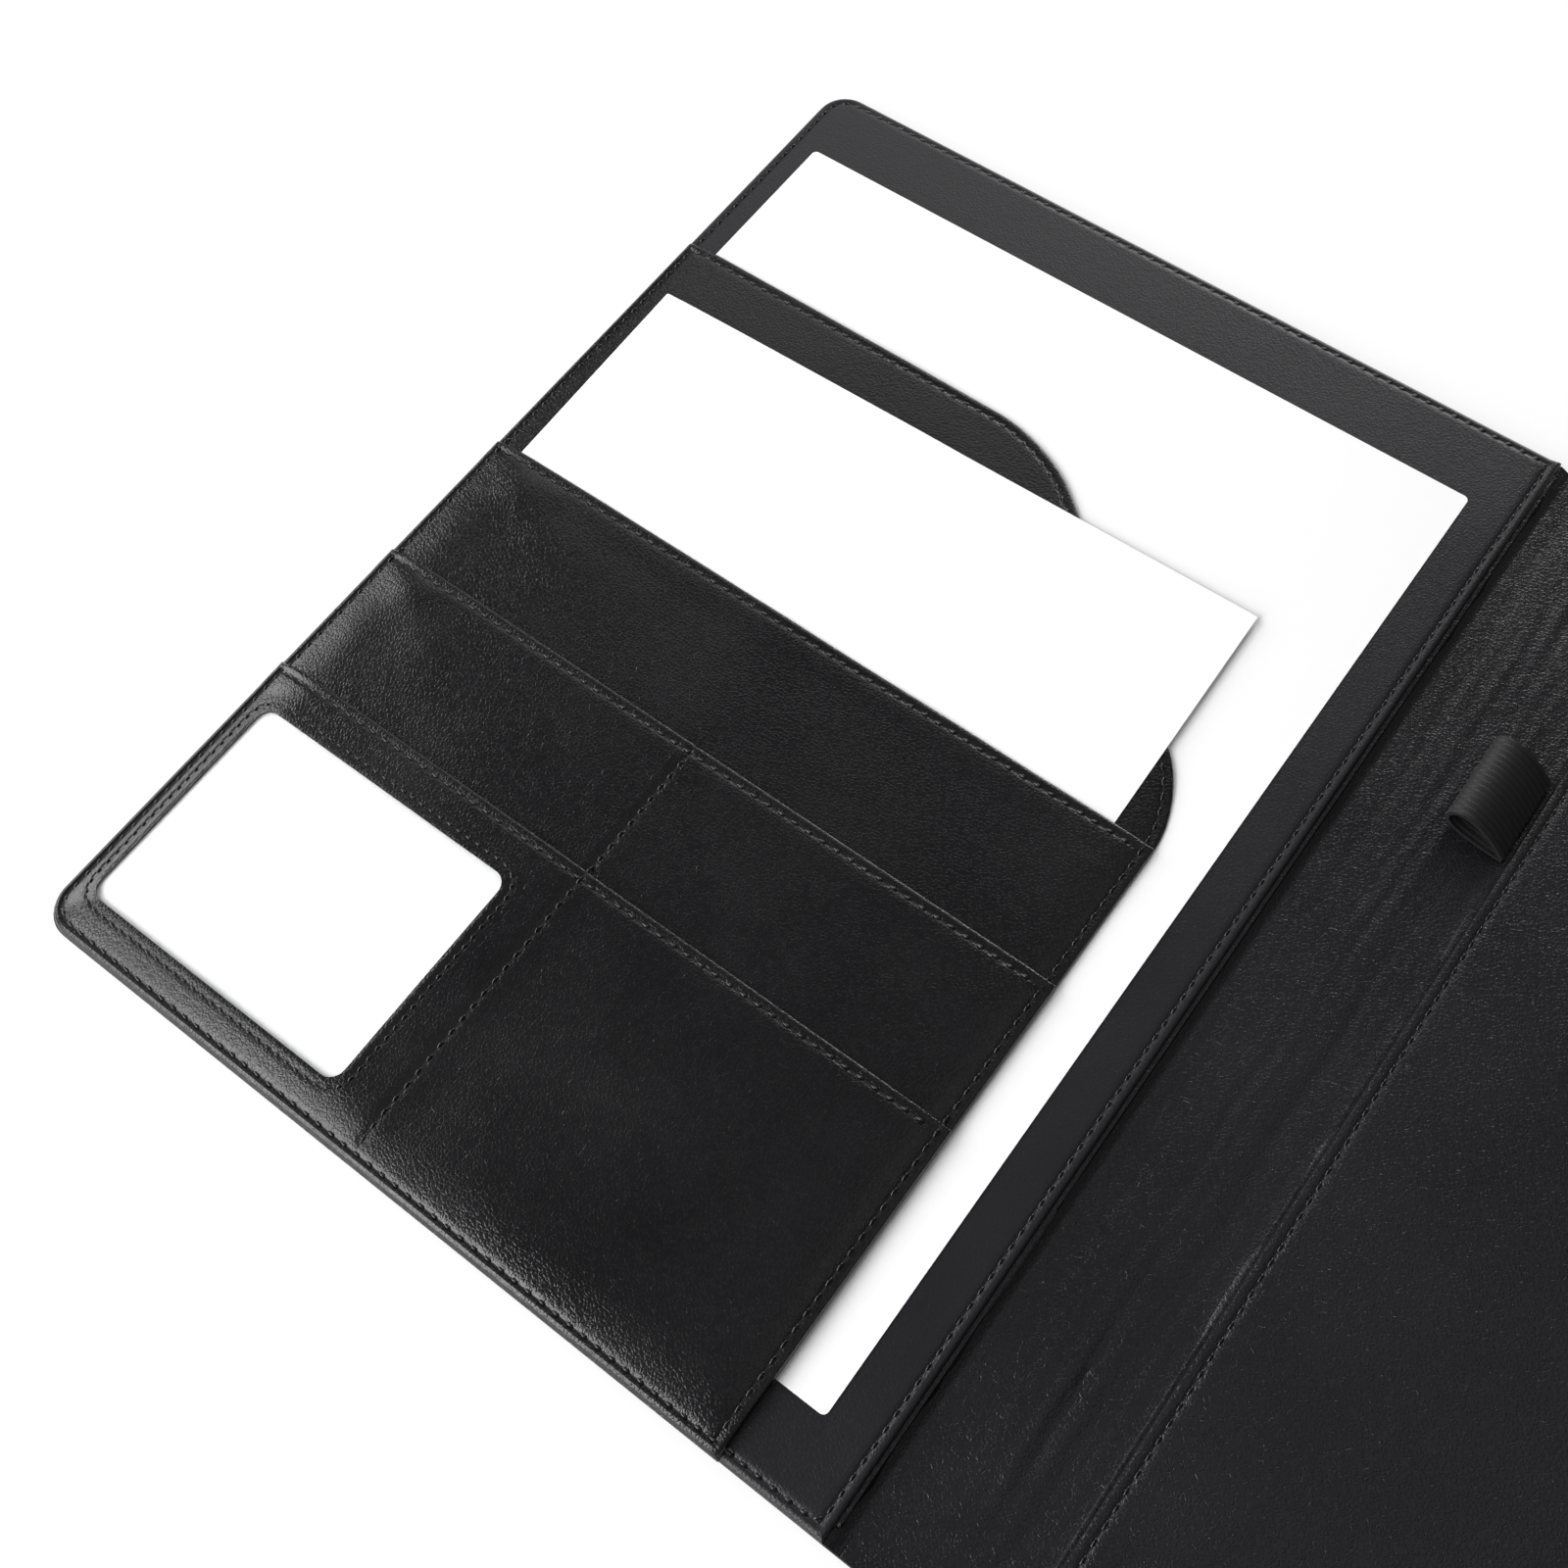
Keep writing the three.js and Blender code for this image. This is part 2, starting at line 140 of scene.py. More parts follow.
def start_material(name):
    """A new material with only an output and a principled shader, joined."""
    material = bpy.data.materials.new(name)
    material.use_nodes = True
    tree = material.node_tree
    tree.nodes.clear()
    shader = add(tree, "BsdfPrincipled")
    add(tree, "OutputMaterial", {"Surface": shader.outputs["BSDF"]})
    return material, tree, shader


def per_metre(millimetres):
    """The texture scale that gives a pattern this spacing."""
    return 1 / (millimetres * MM)


# %% [markdown]
# ## Light and floor
#
# The folder lies on white paper under broad, soft light. Black leather shows light mostly as
# reflection, so each lamp is placed for what it does to the sheen. A far panel greys the far edge,
# a left and a near panel make the nearest pockets gleam, and a dim ceiling panel serves the spine.
# Two low panels catch the round edges. The white backdrop and the floor's glow are for the camera
# alone, so they put no light on the folder.

# %% World and lamps
def soft_panel(name, place, aim, size, power):
    """Adds a square lamp that faces a point. The size is in metres and the power in watts."""
    bpy.ops.object.light_add(type="AREA", location=place)
    lamp = bpy.context.object
    lamp.name = name
    lamp.data.size = size
    lamp.data.energy = power
    lamp.rotation_euler = (Vector(aim) - Vector(place)).to_track_quat("-Z", "Y").to_euler()


FILL_LIGHT = 0.14
scene = bpy.context.scene
scene.view_settings.view_transform = "Standard"
world = bpy.data.worlds.new("white studio")
scene.world = world
world.use_nodes = True
world.node_tree.nodes.clear()
rays = add(world.node_tree, "LightPath")
fill = add(world.node_tree, "Background", {"Color": colour("ffffff"), "Strength": FILL_LIGHT})
backdrop = add(world.node_tree, "Background", {"Color": colour("ffffff"), "Strength": 1.0})
seen = add(world.node_tree, "MixShader", {
    0: rays.outputs["Is Camera Ray"], 1: fill.outputs[0], 2: backdrop.outputs[0]})
add(world.node_tree, "OutputWorld", {"Surface": seen.outputs[0]})

soft_panel("far panel", (-0.75, 1.15, 0.85), (-0.1, 0.0, 0.0), size=1.1, power=4.5)
soft_panel("left panel", (-1.5, -0.2, 0.7), (-0.1, 0.0, 0.0), size=1.0, power=19)
soft_panel("ceiling panel", (0.45, 0.25, 1.6), (0.0, 0.0, 0.0), size=1.0, power=1.2)
soft_panel("edge panel", (-0.5, -1.4, 0.35), (-0.15, -0.17, 0.0), size=0.8, power=12)
soft_panel("far edge panel", (-0.3, 1.5, 0.4), (-0.1, 0.0, 0.0), size=0.7, power=9)
soft_panel("near panel", (-0.75, -1.2, 1.0), (-0.1, -0.05, 0.0), size=0.9, power=20)

# %% Floor
FLOOR_SIZE = 12.0
FLOOR_GLOW = 0.72
bpy.ops.object.select_all(action="DESELECT")
bpy.ops.mesh.primitive_plane_add(size=FLOOR_SIZE)
floor = bpy.context.object
floor.name = "floor"
floor_paint, floor_tree, floor_shader = start_material("matte white paper floor")
floor_shader.inputs["Base Color"].default_value = colour("fbfbfb")
floor_shader.inputs["Roughness"].default_value = 0.9
floor_rays = add(floor_tree, "LightPath")
floor_share = add(floor_tree, "Math", {0: floor_rays.outputs["Is Camera Ray"], 1: FLOOR_GLOW},
                  operation="MULTIPLY")
floor_glow = add(floor_tree, "Emission", {"Color": colour("ffffff"), "Strength": 1.0})
floor_mix = add(floor_tree, "MixShader", {
    0: floor_share.outputs[0], 1: floor_shader.outputs["BSDF"], 2: floor_glow.outputs[0]})
floor_tree.links.new(floor_mix.outputs[0], floor_tree.nodes["Material Output"].inputs["Surface"])
floor.data.materials.append(floor_paint)
print("floor", FLOOR_SIZE, "m wide")

# %% [markdown]
# ## Coated leather
#
# The covering is split leather or cloth with a pressed polyurethane coat. The coat is a smooth dark
# film, so it reflects like a plastic with an IOR near 1.45. The press leaves rounded pebbles about a
# millimetre across, and bending leaves wider creases. Handling makes it cloudy: some patches are
# glossier than others. Two Voronoi patterns give the pebbles and the creases, each pushed about by
# noise so that no line stays straight, and slow noise gives the clouds.

# %% Leather
# All in millimetres, apart from the two grooves, which are shares of a cell.
PEBBLE = 1.0
PEBBLE_DEPTH = 0.12
PEBBLE_GROOVE = 0.28
PEBBLE_PUSH = 0.7
CREASE = 5.0
CREASE_DEPTH = 0.12
CREASE_GROOVE = 0.10
CREASE_PUSH = 9
WANDER = 4
GRAIN = 0.5
GRAIN_DEPTH = 0.03
CLOUD = 55.0
COAT_IOR = 1.45


def coated_leather(name, dark, pale, gloss, pebbles, creases, place):
    """Black coated leather: two colours, (glossy, dull) roughness, and the strength of its relief."""
    material, tree, shader = start_material(name)
    here = add(tree, "TexCoord").outputs["Object"]
    moved = add(tree, "Mapping", {"Vector": here, "Location": place}).outputs["Vector"]
    cloud = add(tree, "TexNoise", {"Vector": moved, "Scale": per_metre(CLOUD), "Detail": 4.0,
                                   "Roughness": 0.6}).outputs["Fac"]
    wander = add(tree, "TexNoise", {
        "Vector": moved, "Scale": per_metre(WANDER), "Detail": 2.0}).outputs["Color"]

    def grooves(spacing, push, width):
        """Lines between cells of the given spacing: 0 in the line and 1 on the cell."""
        step = add(tree, "VectorMath", {0: wander, "Scale": push * MM}, operation="SCALE").outputs[0]
        bent = add(tree, "VectorMath", {0: moved, 1: step}, operation="ADD").outputs[0]
        cells = add(tree, "TexVoronoi", {"Vector": bent, "Scale": per_metre(spacing)},
                    feature="DISTANCE_TO_EDGE").outputs["Distance"]
        return add(tree, "MapRange", {"Value": cells, "From Max": width},
                   interpolation_type="SMOOTHSTEP").outputs["Result"]

    pebble = grooves(PEBBLE, PEBBLE_PUSH, PEBBLE_GROOVE)
    crease = grooves(CREASE, CREASE_PUSH, CREASE_GROOVE)
    grain = add(tree, "TexNoise", {
        "Vector": moved, "Scale": per_metre(GRAIN), "Detail": 2.0}).outputs["Fac"]

    tint = add(tree, "MixRGB", {0: cloud, 1: colour(dark), 2: colour(pale)})
    tree.links.new(tint.outputs[0], shader.inputs["Base Color"])
    rough = add(tree, "MapRange", {"Value": cloud, "From Min": 0.3, "From Max": 0.7,
                                   "To Min": gloss[0], "To Max": gloss[1]})
    tree.links.new(rough.outputs["Result"], shader.inputs["Roughness"])
    relief = add(tree, "Bump", {
        "Height": crease, "Strength": creases, "Distance": CREASE_DEPTH * MM})
    relief = add(tree, "Bump", {
        "Height": pebble, "Strength": pebbles, "Distance": PEBBLE_DEPTH * MM, "Normal": relief.outputs[0]})
    relief = add(tree, "Bump", {
        "Height": grain, "Strength": 0.35, "Distance": GRAIN_DEPTH * MM, "Normal": relief.outputs[0]})
    tree.links.new(relief.outputs[0], shader.inputs["Normal"])
    shader.inputs["IOR"].default_value = COAT_IOR
    return material


lining_leather = coated_leather(
    "coated leather lining", dark="121115", pale="18171b", gloss=(0.36, 0.46),
    pebbles=0.30, creases=0.12, place=(0, 0, 0))
pocket_leather = coated_leather(
    "coated leather pockets", dark="09080a", pale="100f12", gloss=(0.20, 0.33),
    pebbles=0.36, creases=0.15, place=(0.3, 0.1, 0))
spine_leather = coated_leather(
    "coated leather spine", dark="0d0c0f", pale="141317", gloss=(0.28, 0.40),
    pebbles=0.50, creases=0.30, place=(0.1, 0.5, 0))
cover_leather = coated_leather(
    "coated leather outside", dark="0f0e11", pale="161519", gloss=(0.26, 0.40),
    pebbles=0.55, creases=0.30, place=(0.7, 0.2, 0))
print("leathers", [m.name for m in (lining_leather, pocket_leather, spine_leather, cover_leather)])

# %% [markdown]
# ## Thread, elastic, paper, film and metal
#
# The thread is bonded polyester, black and slightly waxy, so each stitch has a small highlight. The
# pen loop is woven elastic, dull with a little lint. Paper is nearly a perfect diffuser. The card
# window is clear vinyl. The clip is steel with bright nickel plate, a metal whose colour is a warm
# light grey. One function makes them all: a flat colour, with noise in the gloss and in the relief.
# Elastic's lint then needs some sheen, and the film needs to be nearly clear.

# %% Small materials
def plain_material(name, shade, roughness, metallic=0.0, spot=1.0, depth=0.0):
    """One colour, broken up by fine noise. The spot and the depth are in millimetres."""
    material, tree, shader = start_material(name)
    here = add(tree, "TexCoord").outputs["Object"]
    fleck = add(tree, "TexNoise", {"Vector": here, "Scale": per_metre(spot), "Detail": 3.0}).outputs["Fac"]
    shader.inputs["Base Color"].default_value = colour(shade)
    shader.inputs["Metallic"].default_value = metallic
    spread = add(tree, "MapRange", {
        "Value": fleck, "To Min": roughness * 0.85, "To Max": min(roughness * 1.15, 1)})
    tree.links.new(spread.outputs["Result"], shader.inputs["Roughness"])
    relief = add(tree, "Bump", {"Height": fleck, "Strength": 0.5, "Distance": depth * MM})
    tree.links.new(relief.outputs[0], shader.inputs["Normal"])
    return material


thread = plain_material("waxed polyester thread", "060607", 0.25, spot=0.4, depth=0.05)
# Painted shade: a near-black matte finish for flat discs that stand for the shade inside the needle holes.
needle_hole_painted_shade = plain_material("needle hole shadow", "040404", 0.9, spot=0.5, depth=0.02)
elastic = plain_material("woven elastic", "0a0a0b", 0.6, spot=0.45, depth=0.12)
paper = plain_material("uncoated white paper", "f6f6f6", 0.75, spot=0.8, depth=0.01)
nickel = plain_material("nickel plated steel", "c8c6c2", 0.2, metallic=1.0, spot=3.0, depth=0.004)
spring_wire = plain_material("drawn spring wire", "9c9da0", 0.35, metallic=1.0, spot=0.6, depth=0.01)
grey_board = plain_material("grey pulp board", "8b8883", 0.95, spot=1.5, depth=0.1)
soft_foam = plain_material("charcoal foam", "4a4a4f", 0.95, spot=0.7, depth=0.15)
vinyl = plain_material("clear vinyl film", "f4f6f8", 0.12, spot=30.0, depth=0.05)
elastic_shader = elastic.node_tree.nodes["Principled BSDF"]
elastic_shader.inputs["Sheen Weight"].default_value = 0.06
elastic_shader.inputs["Sheen Roughness"].default_value = 0.4
vinyl.node_tree.nodes["Principled BSDF"].inputs["Alpha"].default_value = 0.12
print("materials", len(bpy.data.materials))

# %% [markdown]
# ## Sheets of leather
#
# A sewn leather panel is a flat sheet whose edge is turned under, so the edge is round and the
# sheet dips along the seam. Cloth simulation would make its folds by chance, so the sheets are
# shaped by measured rules instead. Each panel starts as a plane of the right size. Its corners are
# bevelled, rings are inset beside the edge, where the form changes fastest, and the rest is cut
# into a grid by bisecting. Then the points are raised or lowered, and Solidify gives the thickness.

# %% Modelling helpers
def only(thing):
    """Leaves object mode's selection at one object, and makes it active."""
    if bpy.context.mode != "OBJECT":
        bpy.ops.object.mode_set(mode="OBJECT")
    bpy.ops.object.select_all(action="DESELECT")
    thing.select_set(True)
    bpy.context.view_layer.objects.active = thing
    return thing


def edit(thing, kind="FACE"):
    """Enters edit mode with nothing selected and returns the mesh being edited."""
    only(thing)
    bpy.ops.object.mode_set(mode="EDIT")
    bpy.ops.mesh.select_mode(type=kind)
    bpy.ops.mesh.select_all(action="DESELECT")
    return bmesh.from_edit_mesh(thing.data)


def pick(thing, shape, elements, test):
    """Selects the elements of the edited mesh that pass a test."""
    for element in elements:
        element.select_set(test(element))
    shape.select_flush_mode()
    bmesh.update_edit_mesh(thing.data)


def place(thing):
    """Ends edit mode and puts the object's own place into its mesh."""
    only(thing)
    bpy.ops.object.transform_apply(location=True, rotation=True, scale=True)
    return thing


def finish_with(thing, kind, **settings):
    """Adds one modifier and applies it."""
    only(thing)
    added = thing.modifiers.new(kind.lower(), kind)
    for name, value in settings.items():
        setattr(added, name, value)
    bpy.ops.object.modifier_apply(modifier=added.name)
    return thing


def smooth(thing, angle=35):
    """Smooth shading, except over edges sharper than the angle."""
    only(thing)
    bpy.ops.object.shade_smooth_by_angle(angle=math.radians(angle))
    return thing


def own(thing, name, material, body=None, instead_of=()):
    """Names a finished piece, gives it its finish and says what it rides on and stands for."""
    thing.name = name
    thing.data.name = name
    thing.data.materials.clear()
    thing.data.materials.append(material)
    if body:
        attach(thing, body)
    if instead_of:
        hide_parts(*instead_of)
    return thing


# %% A flat outline
CORNER_STEPS = 8


def flat_outline(left, right, bottom, top, height, corners=(), slant=None):
    """A plane with rounded corners, each (x, y, set-back). A slant cuts one corner off first."""
    bpy.ops.object.select_all(action="DESELECT")
    middle = ((left + right) / 2, (bottom + top) / 2, height)
    bpy.ops.mesh.primitive_plane_add(size=1, location=middle)
    sheet = bpy.context.object
    sheet.scale = (right - left, top - bottom, 1)
    place(sheet)
    if slant:
        edit(sheet)
        bpy.ops.mesh.select_all(action="SELECT")
        bpy.ops.mesh.bisect(plane_co=slant[0], plane_no=slant[1], clear_outer=True, use_fill=False)
        bpy.ops.object.mode_set(mode="OBJECT")
    for x, y, setback in corners:
        shape = edit(sheet, "VERT")
        pick(sheet, shape, shape.verts, lambda v: (v.co.xy - Vector((x, y))).length < 0.2 * MM)
        bpy.ops.mesh.bevel(affect="VERTICES", offset=setback, segments=CORNER_STEPS)
        bpy.ops.object.mode_set(mode="OBJECT")
    rim = [sheet.data.vertices[i].co.xy.copy() for i in sheet.data.polygons[0].vertices]
    return sheet, rim


def edge_distance(point, rim):
    """How far a point lies from the nearest stretch of an outline."""
    best = 1.0
    for i, end in enumerate(rim):
        start = rim[i - 1]
        run = end - start
        share = max(0.0, min(1.0, (point - start).dot(run) / max(run.length_squared, 1e-12)))
        best = min(best, (start + run * share - point).length)
    return best


def cut_grid(sheet, across, along):
    """Bisects the whole sheet at each given x and y."""
    edit(sheet)
    for normal, places in (((1, 0, 0), across), ((0, 1, 0), along)):
        for value in places:
            bpy.ops.mesh.select_all(action="SELECT")
            bpy.ops.mesh.bisect(plane_co=(value, value, 0), plane_no=normal, threshold=1e-6)
    bpy.ops.object.mode_set(mode="OBJECT")


def steps(low, high, pitch):
    """Even places between two ends, without the ends."""
    count = max(1, round((high - low) / pitch))
    return [low + (high - low) * i / count for i in range(1, count)]


# %% A sewn sheet
# In millimetres: the pitch of the grid, and how far each inset ring lies from the edge.
GRID = 3.0
EDGE_RINGS = (0.25, 0.6, 1.1, 1.7, 2.2, 2.7, 3.2, 3.8, 4.8, 6.5)


def sewn_sheet(bounds, height, thickness, relief, corners=(), slant=None, turned=None,
               rim_height=None, facing=1, pitch=(GRID, GRID), extra=((), ())):
    """A leather sheet whose surface is raised by relief(x, y, inset).

    It faces up (1) or down (-1). Edges that pass turned() are carried on to rim_height(x, y).
    """
    left, right, bottom, top = bounds
    sheet, rim = flat_outline(left, right, bottom, top, height, corners, slant)
    done = 0.0
    edit(sheet)
    bpy.ops.mesh.select_all(action="SELECT")
    for ring in EDGE_RINGS:
        bpy.ops.mesh.inset(thickness=(ring - done) * MM, depth=0, use_boundary=True)
        done = ring
    bpy.ops.object.mode_set(mode="OBJECT")
    across = steps(left, right, pitch[0] * MM) + list(extra[0])
    along = steps(bottom, top, pitch[1] * MM) + list(extra[1])
    cut_grid(sheet, across, along)
    shape = edit(sheet, "EDGE")
    if turned:
        pick(sheet, shape, shape.edges,
             lambda e: e.is_boundary and turned((e.verts[0].co + e.verts[1].co) / 2))
        bpy.ops.mesh.extrude_region_move(TRANSFORM_OT_translate={"value": (0, 0, -facing * MM)})
        shape = bmesh.from_edit_mesh(sheet.data)
    for vert in shape.verts:
        if abs(vert.co.z - height) < 1e-6:
            vert.co.z += facing * relief(vert.co.x, vert.co.y, edge_distance(vert.co.xy, rim))
        else:
            vert.co.z = rim_height(vert.co.x, vert.co.y)
    bmesh.update_edit_mesh(sheet.data)
    bpy.ops.mesh.select_all(action="SELECT")
    bpy.ops.mesh.normals_make_consistent(inside=False)
    bpy.ops.object.mode_set(mode="OBJECT")
    if facing * sum(p.normal.z * p.area for p in sheet.data.polygons) < 0:
        edit(sheet)
        bpy.ops.mesh.select_all(action="SELECT")
        bpy.ops.mesh.flip_normals()
        bpy.ops.object.mode_set(mode="OBJECT")
    finish_with(sheet, "SOLIDIFY", thickness=thickness, offset=-1)
    smooth(sheet)
    return sheet, rim


def bell(value, centre, width):
    """A smooth hump of height 1."""
    return math.exp(-((value - centre) / width) ** 2)


def ease(value, low, high):
    """A smooth step from 0 to 1."""
    share = max(0.0, min(1.0, (value - low) / (high - low)))
    return share * share * (3 - 2 * share)


def rolled(distance, radius):
    """How far a round edge falls below the flat at a distance from the rim."""
    if distance >= radius:
        return 0.0
    return radius - math.sqrt(max(0.0, radius ** 2 - (radius - distance) ** 2))


def wave(x, y, pitch_x, pitch_y, seed):
    """Slow, even noise from -1 to 1, with its spacing in millimetres."""
    return noise.noise(Vector((x / pitch_x / MM, y / pitch_y / MM, seed)))


# %% [markdown]
# ## Linings of the two covers
#
# The left lining and the right writing panel are the same kind of piece: a lining as large as its
# cover, turned under all round and sewn 2.7 mm from the edge. They stay flat in the middle because
# a board backs them. Beside the spine the leather goes on over the board's end, down to the band.

# %% Measures of the covers
cover_low, cover_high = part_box("left_liner")
right_low, right_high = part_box("right_panel")
band_low, band_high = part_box("spine_liner")
BOTTOM = cover_low.y
TOP = cover_high.y
FAR_LEFT = cover_low.x
FOLD_LEFT = cover_high.x
FOLD_RIGHT = right_low.x
FAR_RIGHT = right_high.x
LINING_TOP = cover_high.z
BAND_TOP = band_high.z
SKIN = band_low.z
SEAM = 2.7 * MM
CORNER = 9 * MM
EDGE_ROLL = 2.2 * MM
FOLD_ROLL = 1.2 * MM
RIGHT_ROLL = 0.6 * MM
LEFT_FILLET = 1.45 * MM
RIGHT_FILLET = 0.3 * MM
WRAP_TOP = 2.5 * MM
LEATHER_THICK = 0.8 * MM
LEFT_CORNERS = [(FAR_LEFT, BOTTOM, CORNER), (FAR_LEFT, TOP, CORNER)]
RIGHT_CORNERS = [(FAR_RIGHT, BOTTOM, CORNER), (FAR_RIGHT, TOP, CORNER)]
print("covers", round((FOLD_LEFT - FAR_LEFT) / MM, 1), "by", round((TOP - BOTTOM) / MM, 1), "mm")


# %% Linings
def lining_relief(x, y, inset):
    """A round edge, a dip along the seam, and a very slight unevenness."""
    dip = 0.4 * MM * bell(inset, SEAM, 0.6 * MM)
    uneven = 0.06 * MM * (wave(x, y, 30, 40, 2.0) - 1)
    radius = EDGE_ROLL
    if abs(x) - FOLD_RIGHT < inset + 0.1 * MM:
        radius = FOLD_ROLL if x < 0 else RIGHT_ROLL
    return uneven - dip - rolled(inset, radius)


def lining(node, name, low, high, corners, fold, fillet, material, body):
    """One cover's lining between two x places, carried down to a fillet at its fold."""
    sheet, rim = sewn_sheet(
        (low, high, BOTTOM, TOP), LINING_TOP, LEATHER_THICK, lining_relief, corners=corners,
        turned=lambda p: abs(p.x - fold) < 0.01 * MM, rim_height=lambda x, y: BAND_TOP + fillet)
    return own(sheet, name, material, body, [node]), rim


left_lining, left_rim = lining(
    "left_liner", "left_lining", FAR_LEFT, FOLD_LEFT, LEFT_CORNERS, FOLD_LEFT, LEFT_FILLET,
    lining_leather, "left_cover")
right_lining, right_rim = lining(
    "right_panel", "right_writing_panel", FOLD_RIGHT, FAR_RIGHT, RIGHT_CORNERS, FOLD_RIGHT,
    RIGHT_FILLET, cover_leather, "right_cover")
print("linings", len(left_lining.data.polygons), len(right_lining.data.polygons), "faces")

# %% [markdown]
# ## Outer leather
#
# One piece of leather covers the outside. It is wrapped up round the edges of both boards and bends
# freely at the two folds. One mesh could bend at one fold only, so it is cut in three: each cover's
# part runs 4 mm past its fold on to the spine, and the middle part belongs to the spine. The cuts lie
# where the leather is flat, so the surface runs on over them. The edge seams come through to the
# outside and pull the leather into a groove, which keeps the thread off the table.

# %% Outer leather
PART_LINE = 17 * MM
FOLD_CUTS = (-3, -2, -1, -0.4, 0.4, 1.2, 2, 2.7, 3.4)


def outer_relief(x, y, inset):
    """A round wrapped edge and a sunk seam on the covers, and nearly no roundness on the thin band."""
    on_cover = ease(abs(x), FOLD_RIGHT, FOLD_RIGHT + 3 * MM)
    radius = (0.3 + 1.0 * on_cover) * MM
    uneven = 0.05 * MM * (wave(x, y, 35, 45, 5.0) - 1)
    crease = 0.18 * MM * bell(abs(x), FOLD_RIGHT - 1.0 * MM, 0.8 * MM)
    groove = 0.4 * MM * bell(min(inset, abs(x) - FOLD_RIGHT), SEAM, 0.6 * MM) * on_cover
    return min(uneven, 0) - crease - groove - rolled(inset, radius)


def wrap_height(x, y):
    """The wrapped edge is as high as the boards on the covers, and one skin high on the band."""
    share = ease(abs(x), FOLD_RIGHT - 0.4 * MM, FOLD_RIGHT + 1.2 * MM)
    return SKIN + (WRAP_TOP - SKIN) * share


def outer_part(name, low, high, corners, body, node):
    """One stretch of the outer leather between two x places, with its edges wrapped up."""
    inner_cuts = [s * (FOLD_RIGHT + d * MM) for s in (-1, 1) for d in FOLD_CUTS]
    cuts = [x for x in inner_cuts if low + 0.2 * MM < x < high - 0.2 * MM]
    sheet = sewn_sheet(
        (low, high, BOTTOM, TOP), 0.0, LEATHER_THICK, outer_relief, corners=corners,
        turned=lambda p: abs(abs(p.x) - PART_LINE) > 0.01 * MM, rim_height=wrap_height, facing=-1,
        extra=(cuts, ()))[0]
    return own(sheet, name, cover_leather, body, [node])


outer_left = outer_part(
    "left_outer_leather", FAR_LEFT, -PART_LINE, LEFT_CORNERS, None, "left_outer_skin")
outer_right = outer_part(
    "right_outer_leather", PART_LINE, FAR_RIGHT, RIGHT_CORNERS, None, "right_outer_skin")
outer_spine = outer_part(
    "spine_outer_leather", -PART_LINE, PART_LINE, [], "spine", "spine_outer_skin")
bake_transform(outer_left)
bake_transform(outer_right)
print("outer leather", [len(p.data.polygons) for p in (outer_left, outer_spine, outer_right)], "faces")

# %% [markdown]
# ## Spine lining
#
# Only two layers of leather make the spine, so it wrinkles lengthwise where the folder is opened
# again and again. The wrinkles are long and narrow, deepest a little right of the middle, and fade
# out towards the folds. Noise that is stretched along the band gives them, and a slow sideways drift
# makes them wander. Two narrow strips carry the lining under the cover's edges.

# %% Spine lining
WRINKLE_PLACE = 2.5 * MM
WRINKLE_SPREAD = 6 * MM
STRIP_END = FOLD_RIGHT + 3.6 * MM
BAND_THICK = 0.6 * MM
BAND_PITCH = ((1.4, 2.6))
STRIP_PITCH = (0.9, 8)


def band_ends(y, inset):
    """The small round edge at the band's two ends, and the band's slight sinking."""
    at_end = abs(abs(y) - TOP) < 1 * MM
    return 0.02 * MM + (rolled(inset, 0.3 * MM) if at_end else 0.0)


def band_relief(x, y, inset):
    """Lengthwise wrinkles and a slow swell, both flat at the part lines."""
    inside = ease(PART_LINE - abs(x), 0, 4 * MM)
    crowd = 0.25 + bell(x, WRINKLE_PLACE, WRINKLE_SPREAD)
    drift = x + 3 * MM * wave(0, y, 30, 38, 4.0)
    fine = wave(drift, y, 2.4, 75, 3.0) + 0.25 * wave(drift, y, 1.3, 14, 9.0)
    broad = wave(drift, y, 8, 90, 6.0)
    return inside * MM * (0.6 * crowd * fine + 0.25 * broad - 0.1) - band_ends(y, inset)


def strip_relief(x, y, inset):
    """A narrow strip that climbs in a soft hollow to the cover's edge."""
    fillet = LEFT_FILLET if x < 0 else RIGHT_FILLET
    return fillet * ease(abs(x), PART_LINE + 0.4 * MM, FOLD_RIGHT) - band_ends(y, inset)


spine_lining = sewn_sheet((-PART_LINE, PART_LINE, BOTTOM, TOP), BAND_TOP, BAND_THICK, band_relief,
                          pitch=BAND_PITCH)[0]
own(spine_lining, "spine_lining", spine_leather, "spine", ["spine_liner"])
for side, body, word in ((-1, "left_cover", "left"), (1, "right_cover", "right")):
    low, high = sorted((side * STRIP_END, side * PART_LINE))
    strip = sewn_sheet((low, high, BOTTOM, TOP), BAND_TOP, BAND_THICK, strip_relief,
                       pitch=STRIP_PITCH)[0]
    own(strip, word + "_fold_lining", spine_leather, None, ["spine_liner"])
    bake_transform(strip)
print("spine lining", len(spine_lining.data.polygons), "faces")

# %% [markdown]
# ## The flap and the stepped pockets
#
# Four sheets lie one above the other. They are pressed together where the seams hold them, at the
# left and bottom edges of the cover and at the flap's right edge, and they stand off each other in
# between. So every sheet and every paper here follows one shared rule for its height. Near the left
# seam the thick folded hems make the leather above and below them swell and pucker.

# %% Heights of the stack
flap_low, flap_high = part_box("document_pocket")
FLAP_RIGHT = flap_high.x
# How far in from a pressed edge the stack stays low, and how much it puffs up beyond that.
PRESS_WIDTH = 13 * MM
SIDE_PRESS = 8 * MM
PUFF = 0.4 * MM
# How much each sheet adds: at the cover's edge, at the flap's seam, and right of the small card.
LAYER_STEP = 0.52 * MM
SIDE_STEP = 0.68 * MM
FLAT_STEP = 0.85 * MM
CARD_END = -165 * MM
CARD_FADE = 15 * MM
